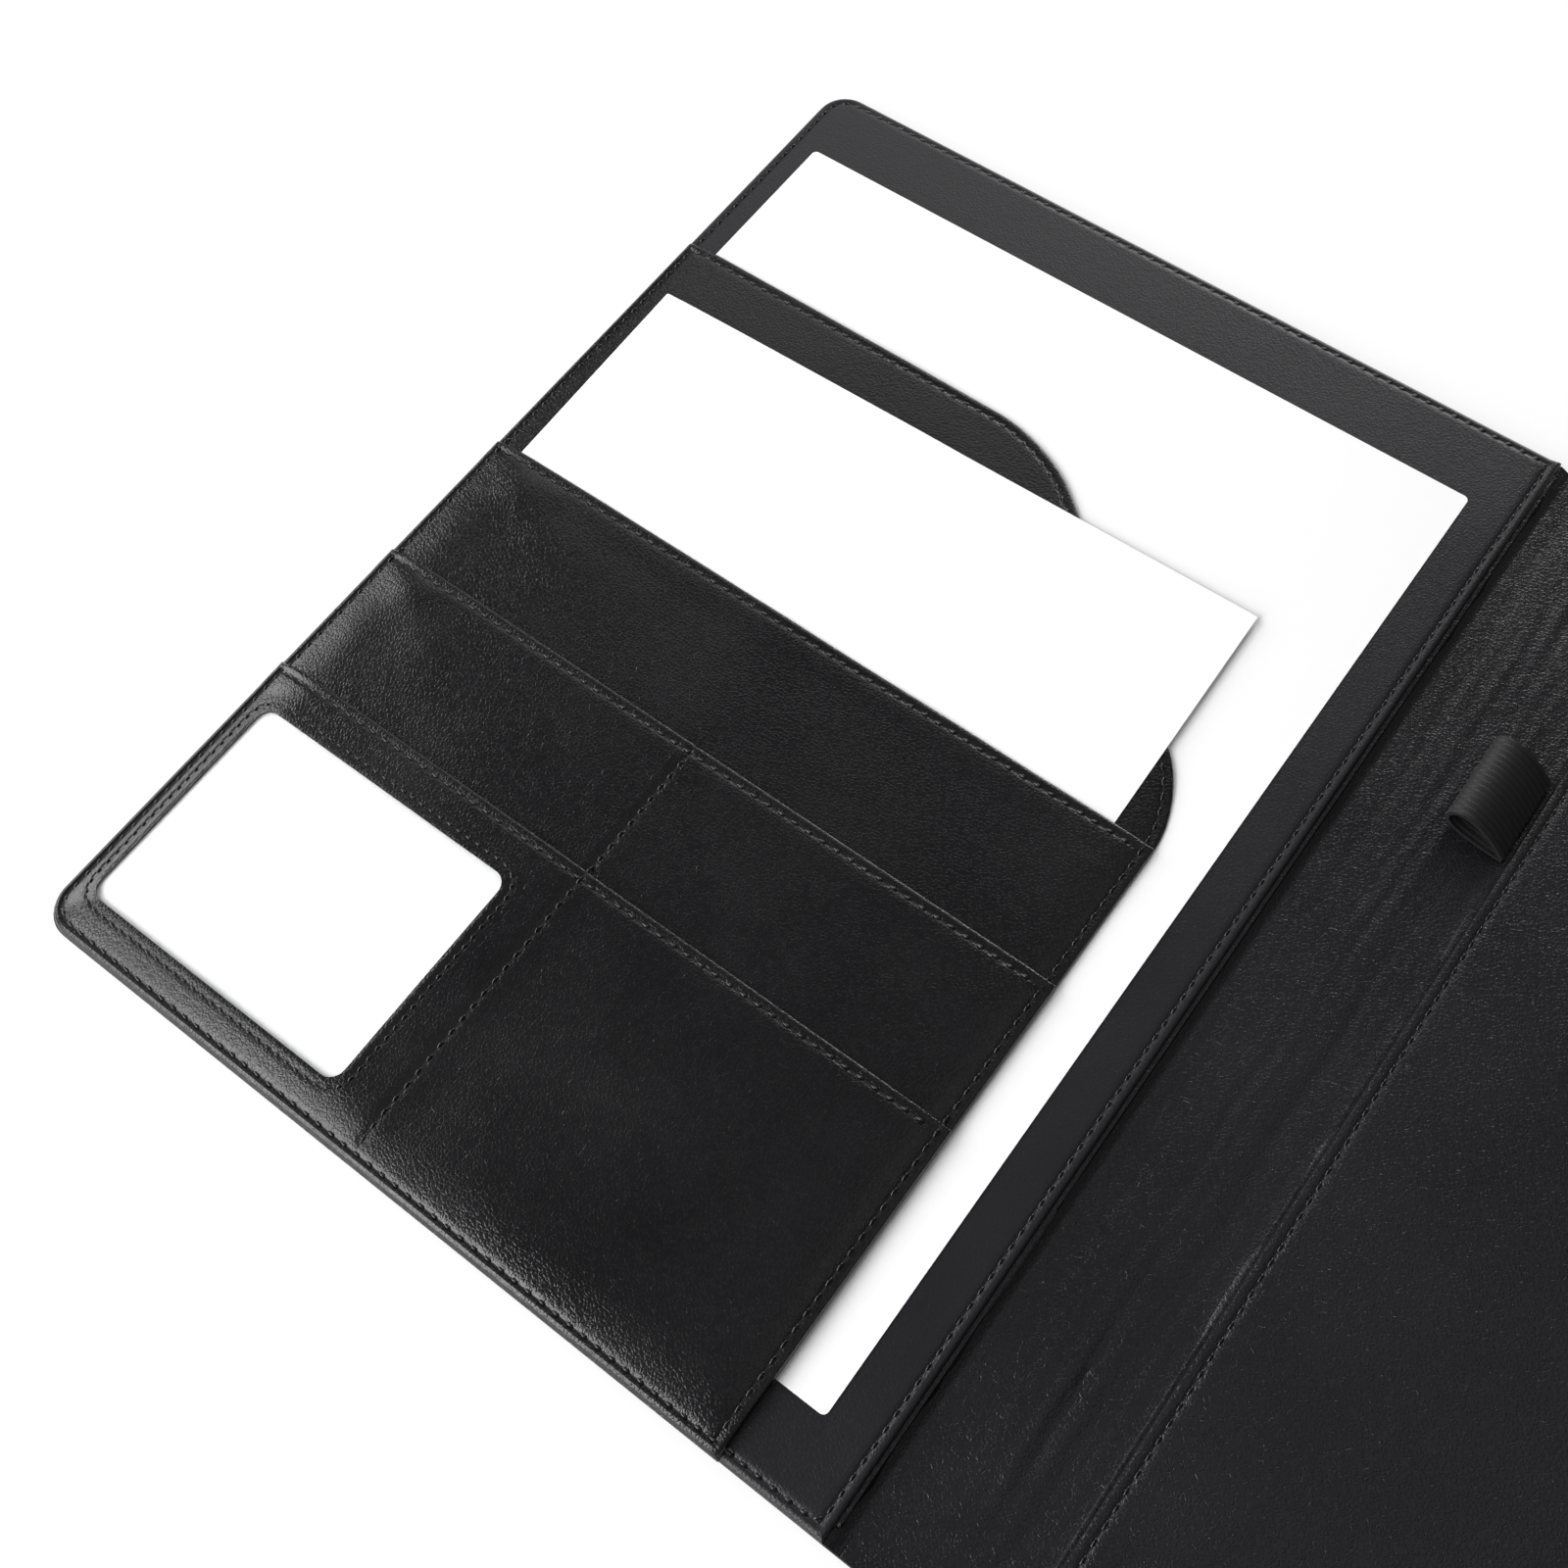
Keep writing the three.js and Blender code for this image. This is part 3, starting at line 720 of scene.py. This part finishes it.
# Each swelling is (x, y, its reach along x, its reach along y, its height), in millimetres.
PUCKERS = (
    (-243, -3, 9, 6, 0.9), (-228, -9, 11, 8, 0.5), (-246, -45, 7, 5, 0.9), (-234, -52, 10, 6, 0.55),
    (-214, -13, 12, 9, 0.3), (-250, -22, 5, 12, 0.4), (-251, -62, 5, 9, 0.35),
    (-60, -7, 8, 7, 0.35), (-60, -50, 8, 7, 0.35), (-62, -95, 9, 9, 0.4))


def sewn_distance(x, y):
    """Distance from the cover's left and bottom edges, which meet in a round corner."""
    centre = Vector((FAR_LEFT + CORNER, BOTTOM + CORNER))
    if x < centre.x and y < centre.y:
        return CORNER - (Vector((x, y)) - centre).length
    return min(x - FAR_LEFT, y - BOTTOM)


def free_share(x, y):
    """0 where the stack is pressed at the cover's edge, 1 where it is free."""
    share = max(0.0, min(1.0, (sewn_distance(x, y) - SEAM) / PRESS_WIDTH))
    return 1 - (1 - share) ** 2.1


def side_share(x):
    """0 at the flap's right seam, 1 where the pockets are free."""
    return ease(FLAP_RIGHT - x, 1.2 * MM, SIDE_PRESS)


def stacked(x, y, free, order):
    """Height of a layer whose free height is given. Order counts the leather sheets below it."""
    puff = PUFF * ease(sewn_distance(x, y), 2 * MM, 45 * MM)
    flat = flap_high.z + FLAT_STEP * order
    free += (min(free, flat) - free) * ease(x, CARD_END, CARD_END + CARD_FADE)
    at_side = flap_high.z + SIDE_STEP * order if order > 0 else free
    sideways = at_side + (free + puff - at_side) * side_share(x)
    at_edge = LINING_TOP + LAYER_STEP * (order + 1)
    return at_edge + (sideways - at_edge) * free_share(x, y)


def puckers(x, y):
    """Swellings beside the thick ends of the hems."""
    return sum(rise * MM * bell(x, px * MM, reach_x * MM) * bell(y, py * MM, reach_y * MM)
               for px, py, reach_x, reach_y, rise in PUCKERS)


# %% Pocket sheets
SHEET = 0.5 * MM
HEM = 2.6 * MM
HEM_FOLD = 7.5 * MM
HEM_ROLL = 0.8 * MM
STITCH_DIP = 0.6 * MM
DIVIDER = flap_low.x + 104.3 * MM
# Extra cuts, in millimetres, across the divider's crease and outward from the window's edge.
DIVIDER_CUTS = (-4.5, -3, -1.6, -0.9, 0, 0.9, 1.6)
WINDOW_CUTS = (0.15, 0.5, 1.1, 1.9, 2.7, 3.6, 4.6)


def pocket_sheet(node, name, order, slant=None, corners=(), divided=False, openings=()):
    """One pocket: pressed at its seams, hemmed at its top, sunk along the stitches.

    Order counts the leather sheets below it. Each is a hair wider than the one that it covers.
    """
    low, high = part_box(node)
    swell = 1.0 if order in (1, 2) else 0.45
    over = 0.06 * MM * (order + 1)

    def relief(x, y, inset):
        """How far the leather stands above its node's top, or below."""
        sewn_edge = sewn_distance(x, y)
        to_top = high.y - y
        at_cover_edge = sewn_edge < inset + 0.3 * MM
        rise = stacked(x, y, high.z, order) - high.z
        dip = (0.5 if at_cover_edge else 0.28) * MM * bell(inset, HEM, STITCH_DIP)
        fold = 0.14 * MM * ease(to_top, HEM_FOLD + 1.2 * MM, HEM_FOLD) if order else 0.0
        bumps = puckers(x, y) * swell * ease(to_top, 1 * MM, 5 * MM) * ease(sewn_edge, 3 * MM, 7 * MM)
        slow = 0.16 * MM * wave(x, y, 26, 20, 1.0 + order) * ease(sewn_edge, 4 * MM, 14 * MM)
        crease = 0.0
        if divided:
            crease = 0.22 * MM * bell(x, DIVIDER, 0.7 * MM)
            crease -= 0.10 * MM * bell(x, DIVIDER - 2.6 * MM, 1.3 * MM)
            crease *= ease(y - BOTTOM, 1 * MM, 4 * MM)
        frame = 0.0
        for rim in openings:
            gap = edge_distance(Vector((x, y)), rim)
            frame += rolled(gap, 0.5 * MM) + 0.22 * MM * bell(gap, SEAM, 0.7 * MM)
            frame -= 0.18 * MM * ease(gap, 4.6 * MM, 3.6 * MM)
        edge = rolled(inset, HEM_ROLL)
        if at_cover_edge:
            edge = rolled(max(sewn_edge, 0), EDGE_ROLL)
        return rise + bumps + slow + fold - dip - crease - frame - edge

    def hem_height(x, y):
        """How low the edge is turned: down to the outer leather, or round the hem's thickness."""
        if sewn_distance(x, y) < 0.5 * MM:
            return WRAP_TOP + 0.02 * MM
        return high.z + relief(x, y, 0.0) - SHEET * 0.9 - 0.3 * MM * free_share(x, y) * side_share(x)

    cuts_x = [DIVIDER + d * MM for d in DIVIDER_CUTS] if divided else []
    cuts_y = []
    for rim in openings:
        xs = [p.x for p in rim]
        ys = [p.y for p in rim]
        for gap in WINDOW_CUTS:
            cuts_x += [min(xs) - gap * MM, max(xs) + gap * MM]
            cuts_y += [min(ys) - gap * MM, max(ys) + gap * MM]
    sheet, rim = sewn_sheet(
        (low.x - over, high.x, low.y - over, high.y), high.z, SHEET, relief,
        corners=[(low.x - over, low.y - over, CORNER), *corners], slant=slant,
        turned=lambda p: True, rim_height=hem_height, extra=(cuts_x, cuts_y))
    return own(sheet, name, pocket_leather, "left_cover", [node]), rim


# The flap's upper right corner is cut by a slant, whose two ends are rounded.
SLANT_ACROSS = 87 * MM
SLANT_DOWN = 70.3 * MM
SLANT_ROUND = (16.3 * MM, 16.2 * MM)
slant_top = Vector((FLAP_RIGHT - SLANT_ACROSS, flap_high.y, 0))
slant_side = Vector((FLAP_RIGHT, flap_high.y - SLANT_DOWN, 0))
slant_out = Vector((SLANT_DOWN, SLANT_ACROSS, 0)).normalized()
flap, flap_rim = pocket_sheet(
    "document_pocket", "document_flap", 0, slant=(tuple(slant_top), tuple(slant_out)),
    corners=[(slant_top.x, slant_top.y, SLANT_ROUND[0]), (slant_side.x, slant_side.y, SLANT_ROUND[1])])
wide_pocket = pocket_sheet("wide_pocket", "wide_pocket_sheet", 1)[0]
card_pocket = pocket_sheet("card_pocket", "card_pocket_sheet", 2, divided=True)[0]
print("flap and pockets", [len(p.data.polygons) for p in (flap, wide_pocket, card_pocket)], "faces")

# %% [markdown]
# ## The window pocket
#
# The lowest pocket has a window for a card. The makers punch it out of the finished leather, so here
# too the pocket is made whole and a cutter with the window's outline is taken away from it. The
# leather round the window is pressed down by the seam that holds the film.

# %% Window pocket
WINDOW_LEFT = FAR_LEFT + 7.9 * MM
WINDOW_BOTTOM = BOTTOM + 11.6 * MM
WINDOW_WIDTH = 82.5 * MM
WINDOW_HEIGHT = 63 * MM
WINDOW_CORNER = 4 * MM
CUTTER_HEIGHT = 30 * MM
window_sides = (
    WINDOW_LEFT, WINDOW_LEFT + WINDOW_WIDTH, WINDOW_BOTTOM, WINDOW_BOTTOM + WINDOW_HEIGHT)
cutter, window_rim = flat_outline(*window_sides, 0.0, [
    (x, y, WINDOW_CORNER) for x in window_sides[:2] for y in window_sides[2:]])
id_pocket = pocket_sheet(
    "id_pocket", "window_pocket_sheet", 3, divided=True, openings=[window_rim])[0]
edit(cutter)
bpy.ops.mesh.select_all(action="SELECT")
bpy.ops.mesh.extrude_region_move(TRANSFORM_OT_translate={"value": (0, 0, CUTTER_HEIGHT)})
bpy.ops.mesh.select_all(action="SELECT")
bpy.ops.mesh.normals_make_consistent(inside=False)
bpy.ops.object.mode_set(mode="OBJECT")
finish_with(id_pocket, "BOOLEAN", object=cutter, operation="DIFFERENCE", solver="EXACT")
smooth(id_pocket)
bpy.data.objects.remove(cutter)
print("window pocket", len(id_pocket.data.polygons), "faces")

# %% [markdown]
# ## Papers and the window film
#
# The papers are thin and stiff, so they lie almost flat and take only the slow rise of the pockets
# that hold them. The film is a thin clear sheet behind the window, sewn in by the window's seam. Each
# is a plane with its corners bevelled, cut into a wide grid and raised by the stack's own rule. The
# large sheet lies outside the stack, so it has no place in its order.

# %% Papers
PAPER_GRID = 8 * MM


def thin_sheet(node, name, thickness, order, corner, material, turn_degrees=0.0, lift=0.0):
    """A paper or film that follows the stack's heights, or stays flat when its order is None."""
    low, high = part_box(node)
    middle = (low + high) / 2
    angle = math.radians(turn_degrees)
    width = high.x - low.x
    length = high.y - low.y
    if turn_degrees:
        # The node's box goes round the turned sheet, so the sheet's own sides are solved from it.
        scale = math.cos(angle) ** 2 - math.sin(angle) ** 2
        width, length = ((width * math.cos(angle) - length * abs(math.sin(angle))) / scale,
                         (length * math.cos(angle) - width * abs(math.sin(angle))) / scale)
    left, right = middle.x - width / 2, middle.x + width / 2
    bottom, top = middle.y - length / 2, middle.y + length / 2
    sheet = flat_outline(left, right, bottom, top, high.z, [
        (x, y, corner) for x in (left, right) for y in (bottom, top)])[0]
    cut_grid(sheet, steps(left, right, PAPER_GRID), steps(bottom, top, PAPER_GRID))
    spin = Matrix.Translation(middle) @ Matrix.Rotation(angle, 4, "Z") @ Matrix.Translation(-middle)
    sheet.data.transform(spin)
    shape = edit(sheet)
    for vert in shape.verts:
        x, y = vert.co.xy
        rise = 0.0
        if order is not None and x < FLAP_RIGHT + 4 * MM:
            rise = stacked(min(x, FLAP_RIGHT), y, high.z, order) - high.z
        vert.co.z += rise + lift
    bpy.ops.object.mode_set(mode="OBJECT")
    finish_with(sheet, "SOLIDIFY", thickness=thickness, offset=-1)
    smooth(sheet)
    return own(sheet, name, material, "left_cover", [node])


letter = thin_sheet(
    "letter_sheet", "letter_paper", 0.2 * MM, None, 1.5 * MM, paper)
insert = thin_sheet(
    "insert_card", "insert_paper", 0.2 * MM, 0, 0.4 * MM, paper,
    turn_degrees=1.2, lift=0.35 * MM)
id_card = thin_sheet(
    "id_card", "id_card_paper", 0.4 * MM, 2, 3 * MM, paper, lift=0.1 * MM)
film = thin_sheet(
    "window_film", "window_clear_film", 0.15 * MM, 2, 3 * MM, vinyl, lift=0.3 * MM)
print("papers", [[round(v / MM, 1) for v in p.dimensions] for p in (letter, insert, id_card, film)], "mm")

# %% [markdown]
# ## Pen loop
#
# The loop is a band of ribbed elastic, folded back on itself and sewn into the seam beside the right
# cover. Its ribs are the rubber strands inside the weave, about 2 mm apart, and they run round the
# loop. The band starts as a flat grid and is bent along the loop's leaf-shaped line.

# %% Pen loop
loop_low, loop_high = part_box("pen_loop")
LOOP_GAP = 0.5
LOOP_REACH = 17.6 * MM
LOOP_RISE = 6.6 * MM
LOOP_BULGE = 5.2 * MM
STRAP = 1.0 * MM
RIBS = 15
RIB_DEPTH = 0.32 * MM
SELVEDGE_DEPTH = 0.25 * MM
LOOP_STEPS = 60
RIB_STEPS = 4
LOOP_BASE = BAND_TOP + 1.25 * MM


def loop_point(share):
    """A point of the loop's centre line, from 0 at one end to 1 at the other, as (x, z)."""
    angle = LOOP_GAP + (2 * math.pi - 2 * LOOP_GAP) * share
    out = LOOP_REACH * (1 - math.cos(angle)) / 2
    rise = LOOP_RISE * math.sin(math.pi / 2 * out / LOOP_REACH)
    swell = LOOP_BULGE * math.sin(angle) * math.sin(angle / 2)
    return Vector((loop_high.x - out, LOOP_BASE + rise + swell))


bpy.ops.object.select_all(action="DESELECT")
bpy.ops.mesh.primitive_grid_add(x_subdivisions=LOOP_STEPS, y_subdivisions=RIBS * RIB_STEPS, size=1)
pen_loop = bpy.context.object
loop_width = loop_high.y - loop_low.y
shape = edit(pen_loop)
for vert in shape.verts:
    share = vert.co.x + 0.5
    across = vert.co.y + 0.5
    here = loop_point(share)
    ahead = loop_point(min(1.0, share + 0.01)) - loop_point(max(0.0, share - 0.01))
    out = Vector((-ahead.y, ahead.x)).normalized()
    rib = RIB_DEPTH * abs(math.cos(math.pi * across * RIBS)) - RIB_DEPTH
    edge = SELVEDGE_DEPTH * (bell(across, 0.0, 0.02) + bell(across, 1.0, 0.02))
    spot = here + out * (STRAP / 2 + rib - edge)
    vert.co = (spot.x, loop_low.y + loop_width * across, spot.y)
bmesh.update_edit_mesh(pen_loop.data)
bpy.ops.mesh.select_all(action="SELECT")
bpy.ops.mesh.normals_make_consistent(inside=False)
bpy.ops.object.mode_set(mode="OBJECT")
finish_with(pen_loop, "SOLIDIFY", thickness=STRAP, offset=0)
smooth(pen_loop, 60)
own(pen_loop, "ribbed_pen_loop", elastic, "spine", ["pen_loop"])
print("pen loop", [round(v / MM, 1) for v in pen_loop.dimensions], "mm")

# %% [markdown]
# ## Stitches
#
# Every seam is a lockstitch in thick black thread. On top one sees short arches of thread that dive
# into needle holes. One stitch is modelled, a round thread bent down at both ends over two flat dark
# discs, painted shade for the holes, and copied along each seam. A ray cast down finds the height of
# the leather under its ends.

# %% One stitch
THREAD = 0.66 * MM
STITCH_SHARE = 0.74
# Where the thread is cut to bend, as shares of its length from its middle.
STITCH_CUTS = (-0.36, -0.18, 0.18, 0.36)
THREAD_SIDES = 6
HOLE_SHADE_SIDES = 8


def make_stitch():
    """A thread of length 1 and thickness 1 along x, thinned and bent down at both ends."""
    bpy.ops.object.select_all(action="DESELECT")
    bpy.ops.mesh.primitive_cylinder_add(
        vertices=THREAD_SIDES, radius=0.5, depth=1.0, rotation=(0, math.pi / 2, 0))
    single = place(bpy.context.object)
    edit(single)
    for x in STITCH_CUTS:
        bpy.ops.mesh.select_all(action="SELECT")
        bpy.ops.mesh.bisect(plane_co=(x, 0, 0), plane_no=(1, 0, 0))
    shape = bmesh.from_edit_mesh(single.data)
    for vert in shape.verts:
        thin = 1 - 0.55 * ease(abs(vert.co.x), 0.3, 0.5)
        vert.co.y *= thin
        vert.co.z = vert.co.z * thin + 0.30 - 1.0 * ease(abs(vert.co.x), 0.16, 0.5)
    bpy.ops.object.mode_set(mode="OBJECT")
    return single


def make_hole_shade():
    """A shallow disc of painted shade, which stands for the dark mouth of a needle hole."""
    bpy.ops.object.select_all(action="DESELECT")
    bpy.ops.mesh.primitive_cylinder_add(vertices=HOLE_SHADE_SIDES, radius=0.5, depth=0.2)
    return bpy.context.object


stitch_model = make_stitch()
hole_shade_model = make_hole_shade()
stitch_model.data.materials.append(thread)
hole_shade_model.data.materials.append(needle_hole_painted_shade)


# %% Stitches along a path
# The painted shade disc at each needle hole: its length, width and thickness.
HOLE_SHADE_LENGTH = 1.3 * MM
HOLE_SHADE_WIDTH = 1.0 * MM
HOLE_SHADE_DEPTH = 0.3 * MM
UNEVEN = 0.05 * MM


def inset_path(rim, distance):
    """The closed outline moved inward by a distance (outward when negative)."""
    turn_sum = sum(rim[i - 1].x * p.y - p.x * rim[i - 1].y for i, p in enumerate(rim))
    way = 1 if turn_sum > 0 else -1
    moved = []
    for i, p in enumerate(rim):
        before = (p - rim[i - 1]).normalized()
        after = (rim[(i + 1) % len(rim)] - p).normalized()
        inward = (Vector((-before.y, before.x)) + Vector((-after.y, after.x))) * way
        inward.normalize()
        lean = max(0.5, inward.dot(Vector((-after.y, after.x)) * way))
        moved.append(p + inward * distance / lean)
    return moved


def spots_along(path, pitch):
    """Even places along a path, as (start, end) of each stitch."""
    lengths = [(b - a).length for a, b in zip(path, path[1:])]
    total = sum(lengths)
    count = max(1, round(total / pitch))

    def at(distance):
        """The point at a distance along the path."""
        for a, b, length in zip(path, path[1:], lengths):
            if distance <= length:
                return a.lerp(b, distance / length if length else 0)
            distance -= length
        return path[-1]
    marks = [at(total * i / count) for i in range(count + 1)]
    return list(zip(marks, marks[1:]))


def sew(name, path, pitch, pieces, body, side=1):
    """Lays stitches along a path on the highest of the pieces, or the lowest when side is -1."""
    trees = [BVHTree.FromPolygons([v.co for v in piece.data.vertices],
                                  [tuple(face.vertices) for face in piece.data.polygons])
             for piece in pieces]

    def height(spot):
        """Where a ray from above, or from below, meets the outermost piece."""
        start = Vector((spot.x, spot.y, side * 40 * MM))
        hits = [tree.ray_cast(start, Vector((0, 0, -side)))[0] for tree in trees]
        found = [hit.z for hit in hits if hit]
        return side * max(side * z for z in found) if found else None
    made = []
    for start, end in spots_along(path, pitch):
        middle = (start + end) / 2
        run = (end - start).normalized()
        half = run * pitch * STITCH_SHARE / 2
        z_start, z_end = height(middle - half), height(middle + half)
        if z_start is None or z_end is None:
            continue
        a = Vector((*(middle - half), z_start))
        b = Vector((*(middle + half), z_end))
        along = (b - a).normalized()
        across = (Vector((0, 0, side)).cross(along)).normalized()
        up = along.cross(across)
        shift = random.uniform(-UNEVEN, UNEVEN)
        basis = Matrix((along * (b - a).length, across * THREAD, up * THREAD)).transposed().to_4x4()
        made.append((stitch_model, Matrix.Translation((a + b) / 2 + across * shift) @ basis))
        # Each end of the stitch gets a flat dark disc, painted shade for its needle hole.
        for tip in (a, b):
            flat = Matrix((along * HOLE_SHADE_LENGTH, across * HOLE_SHADE_WIDTH, up * HOLE_SHADE_DEPTH)).transposed().to_4x4()
            made.append((hole_shade_model, Matrix.Translation(tip) @ flat))
    copies = []
    for model, matrix in made:
        copy = model.copy()
        copy.data = model.data.copy()
        copy.data.transform(matrix)
        bpy.context.collection.objects.link(copy)
        copies.append(copy)
    bpy.ops.object.select_all(action="DESELECT")
    for copy in copies:
        copy.select_set(True)
    bpy.context.view_layer.objects.active = copies[0]
    bpy.ops.object.join()
    seam = bpy.context.object
    smooth(seam, 60)
    seam.name = name
    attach(seam, body)
    print(name, len(made) // 3, "stitches")


# %% [markdown]
# ## Where the seams run
#
# Two seams go right round the covers, through every layer, and show inside and outside. The flap's
# hem seam turns the slanted corner and holds the pockets' right ends. Each pocket has its own hem
# seam, the divider splits the two lowest pockets, and the window's seam holds the film. A stitch is
# about 4 mm long, and 3 mm round the window. Stitches share one model, so each seam costs little.

# %% Sew the seams
COVER_PITCH = (4.0 * MM, 4.2 * MM)
FLAP_PITCH = 4.1 * MM
HEM_PITCH = 4.2 * MM
DIVIDER_PITCH = 3.9 * MM
WINDOW_PITCH = 3.1 * MM
FLAP_MIDDLE = Vector((-160, -60)) * MM


def bearing(spot):
    """The direction of a point from the middle of the flap, which puts its outline in order."""
    return math.atan2(spot.y - FLAP_MIDDLE.y, spot.x - FLAP_MIDDLE.x)


pockets = [flap, wide_pocket, card_pocket, id_pocket]
closed_left = inset_path(left_rim, SEAM)
closed_left.append(closed_left[0])
closed_right = inset_path(right_rim, SEAM)
closed_right.append(closed_right[0])
sew("left_cover_seam", closed_left, COVER_PITCH[0], [left_lining, *pockets], "left_cover")
sew("right_cover_seam", closed_right, COVER_PITCH[1], [right_lining], "right_cover")

flap_line = [p for p in inset_path(flap_rim, SEAM)
             if p.x > FAR_LEFT + 12 * MM and p.y > BOTTOM + 8 * MM and bearing(p) > -1]
flap_line.sort(key=bearing)
flap_line.insert(0, Vector((FLAP_RIGHT - SEAM, BOTTOM + SEAM + 2 * MM)))
flap_line.append(Vector((FAR_LEFT + SEAM, flap_high.y - SEAM)))
sew("flap_hem_seam", flap_line, FLAP_PITCH, pockets, "left_cover")
for node, piece, word in (("wide_pocket", wide_pocket, "wide"), ("card_pocket", card_pocket, "card"),
                          ("id_pocket", id_pocket, "window")):
    hem_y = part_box(node)[1].y - HEM
    hem_line = [Vector((FAR_LEFT + 4 * MM, hem_y)), Vector((FLAP_RIGHT - 5 * MM, hem_y))]
    sew(word + "_pocket_hem_seam", hem_line, HEM_PITCH, [piece], "left_cover")

divider_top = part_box("card_pocket")[1].y - HEM - 2 * MM
divider_line = [Vector((DIVIDER, divider_top)), Vector((DIVIDER, BOTTOM + 4 * MM))]
sew("divider_seam", divider_line, DIVIDER_PITCH, [card_pocket, id_pocket], "left_cover")
window_line = inset_path(window_rim, -SEAM)
window_line.append(window_line[0])
sew("window_seam", window_line, WINDOW_PITCH, [id_pocket], "left_cover")
sew("left_outside_seam", closed_left, COVER_PITCH[0], [outer_left], "left_cover", side=-1)
sew("right_outside_seam", closed_right, COVER_PITCH[1], [outer_right], "right_cover", side=-1)
bpy.data.objects.remove(stitch_model)
bpy.data.objects.remove(hole_shade_model)

# %% [markdown]
# ## Hidden fillings and the clip
#
# The board and the foam are hidden in the covers. The clip's plate, jaw, pin and rivets are hard
# pressed metal, so the frame's own solids are shown as they are, with a bright plate on them. The
# torsion spring is a bent wire whose one leg presses on the plate and the other on the jaw. It is a
# curve with a round bevel.

# %% Spring wire of the clip
pin_low, pin_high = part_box("clip_pin")
spring_low, spring_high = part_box("clip_spring")
PIN_PLACE = (pin_low + pin_high) / 2
WIRE = 1.2 * MM
COIL_TURNS = 4.5
COIL_RADIUS = 2.8 * MM
COIL_WIDTH = spring_high.x - spring_low.x - WIRE
LEG = 9 * MM
LEG_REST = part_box("clip_base")[0].z + 1.9 * MM
TURN_STEPS = 16

coil_steps = round(COIL_TURNS * TURN_STEPS)
wire_points = [Vector((PIN_PLACE.x - COIL_WIDTH / 2, PIN_PLACE.y + LEG, LEG_REST))]
for i in range(coil_steps + 1):
    angle = -math.pi / 2 - 2 * math.pi * COIL_TURNS * i / coil_steps
    wire_points.append(Vector((
        PIN_PLACE.x + COIL_WIDTH * (i / coil_steps - 0.5), PIN_PLACE.y + COIL_RADIUS * math.cos(angle),
        PIN_PLACE.z + COIL_RADIUS * math.sin(angle))))
wire_points.append(Vector((PIN_PLACE.x + COIL_WIDTH / 2, PIN_PLACE.y + LEG, PIN_PLACE.z + COIL_RADIUS)))
bpy.ops.object.select_all(action="DESELECT")
bpy.ops.curve.primitive_nurbs_path_add()
wire_line = bpy.context.object
wire_line.data.splines.clear()
wire_spline = wire_line.data.splines.new("POLY")
wire_spline.points.add(len(wire_points) - 1)
for point, here in zip(wire_spline.points, wire_points):
    point.co = (*here, 1.0)
wire_line.data.dimensions = "3D"
wire_line.data.bevel_depth = WIRE / 2
wire_line.data.bevel_resolution = 2
wire_line.data.use_fill_caps = True
bpy.ops.object.convert(target="MESH")
clip_wire = place(bpy.context.object)
smooth(clip_wire)
own(clip_wire, "clip_torsion_spring", spring_wire, None, ["clip_spring"])
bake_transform(clip_wire)
print("spring", [round(v / MM, 1) for v in clip_wire.dimensions], "mm")

# %% Finishes on the frame's own solids
FINISHES = {"board": grey_board, "foam": soft_foam, "nickel_steel": nickel, "spring_steel": spring_wire,
            "paper": paper, "film": vinyl, "elastic": elastic, "leather": cover_leather}
finished = set()
for node in frame["nodes"].values():
    for surface in node.material_slots:
        word = surface.material.name.split(".")[0] if surface.material else ""
        if word in FINISHES:
            surface.material = FINISHES[word]
            finished.add(surface.material.name)
print("finishes", sorted(finished))
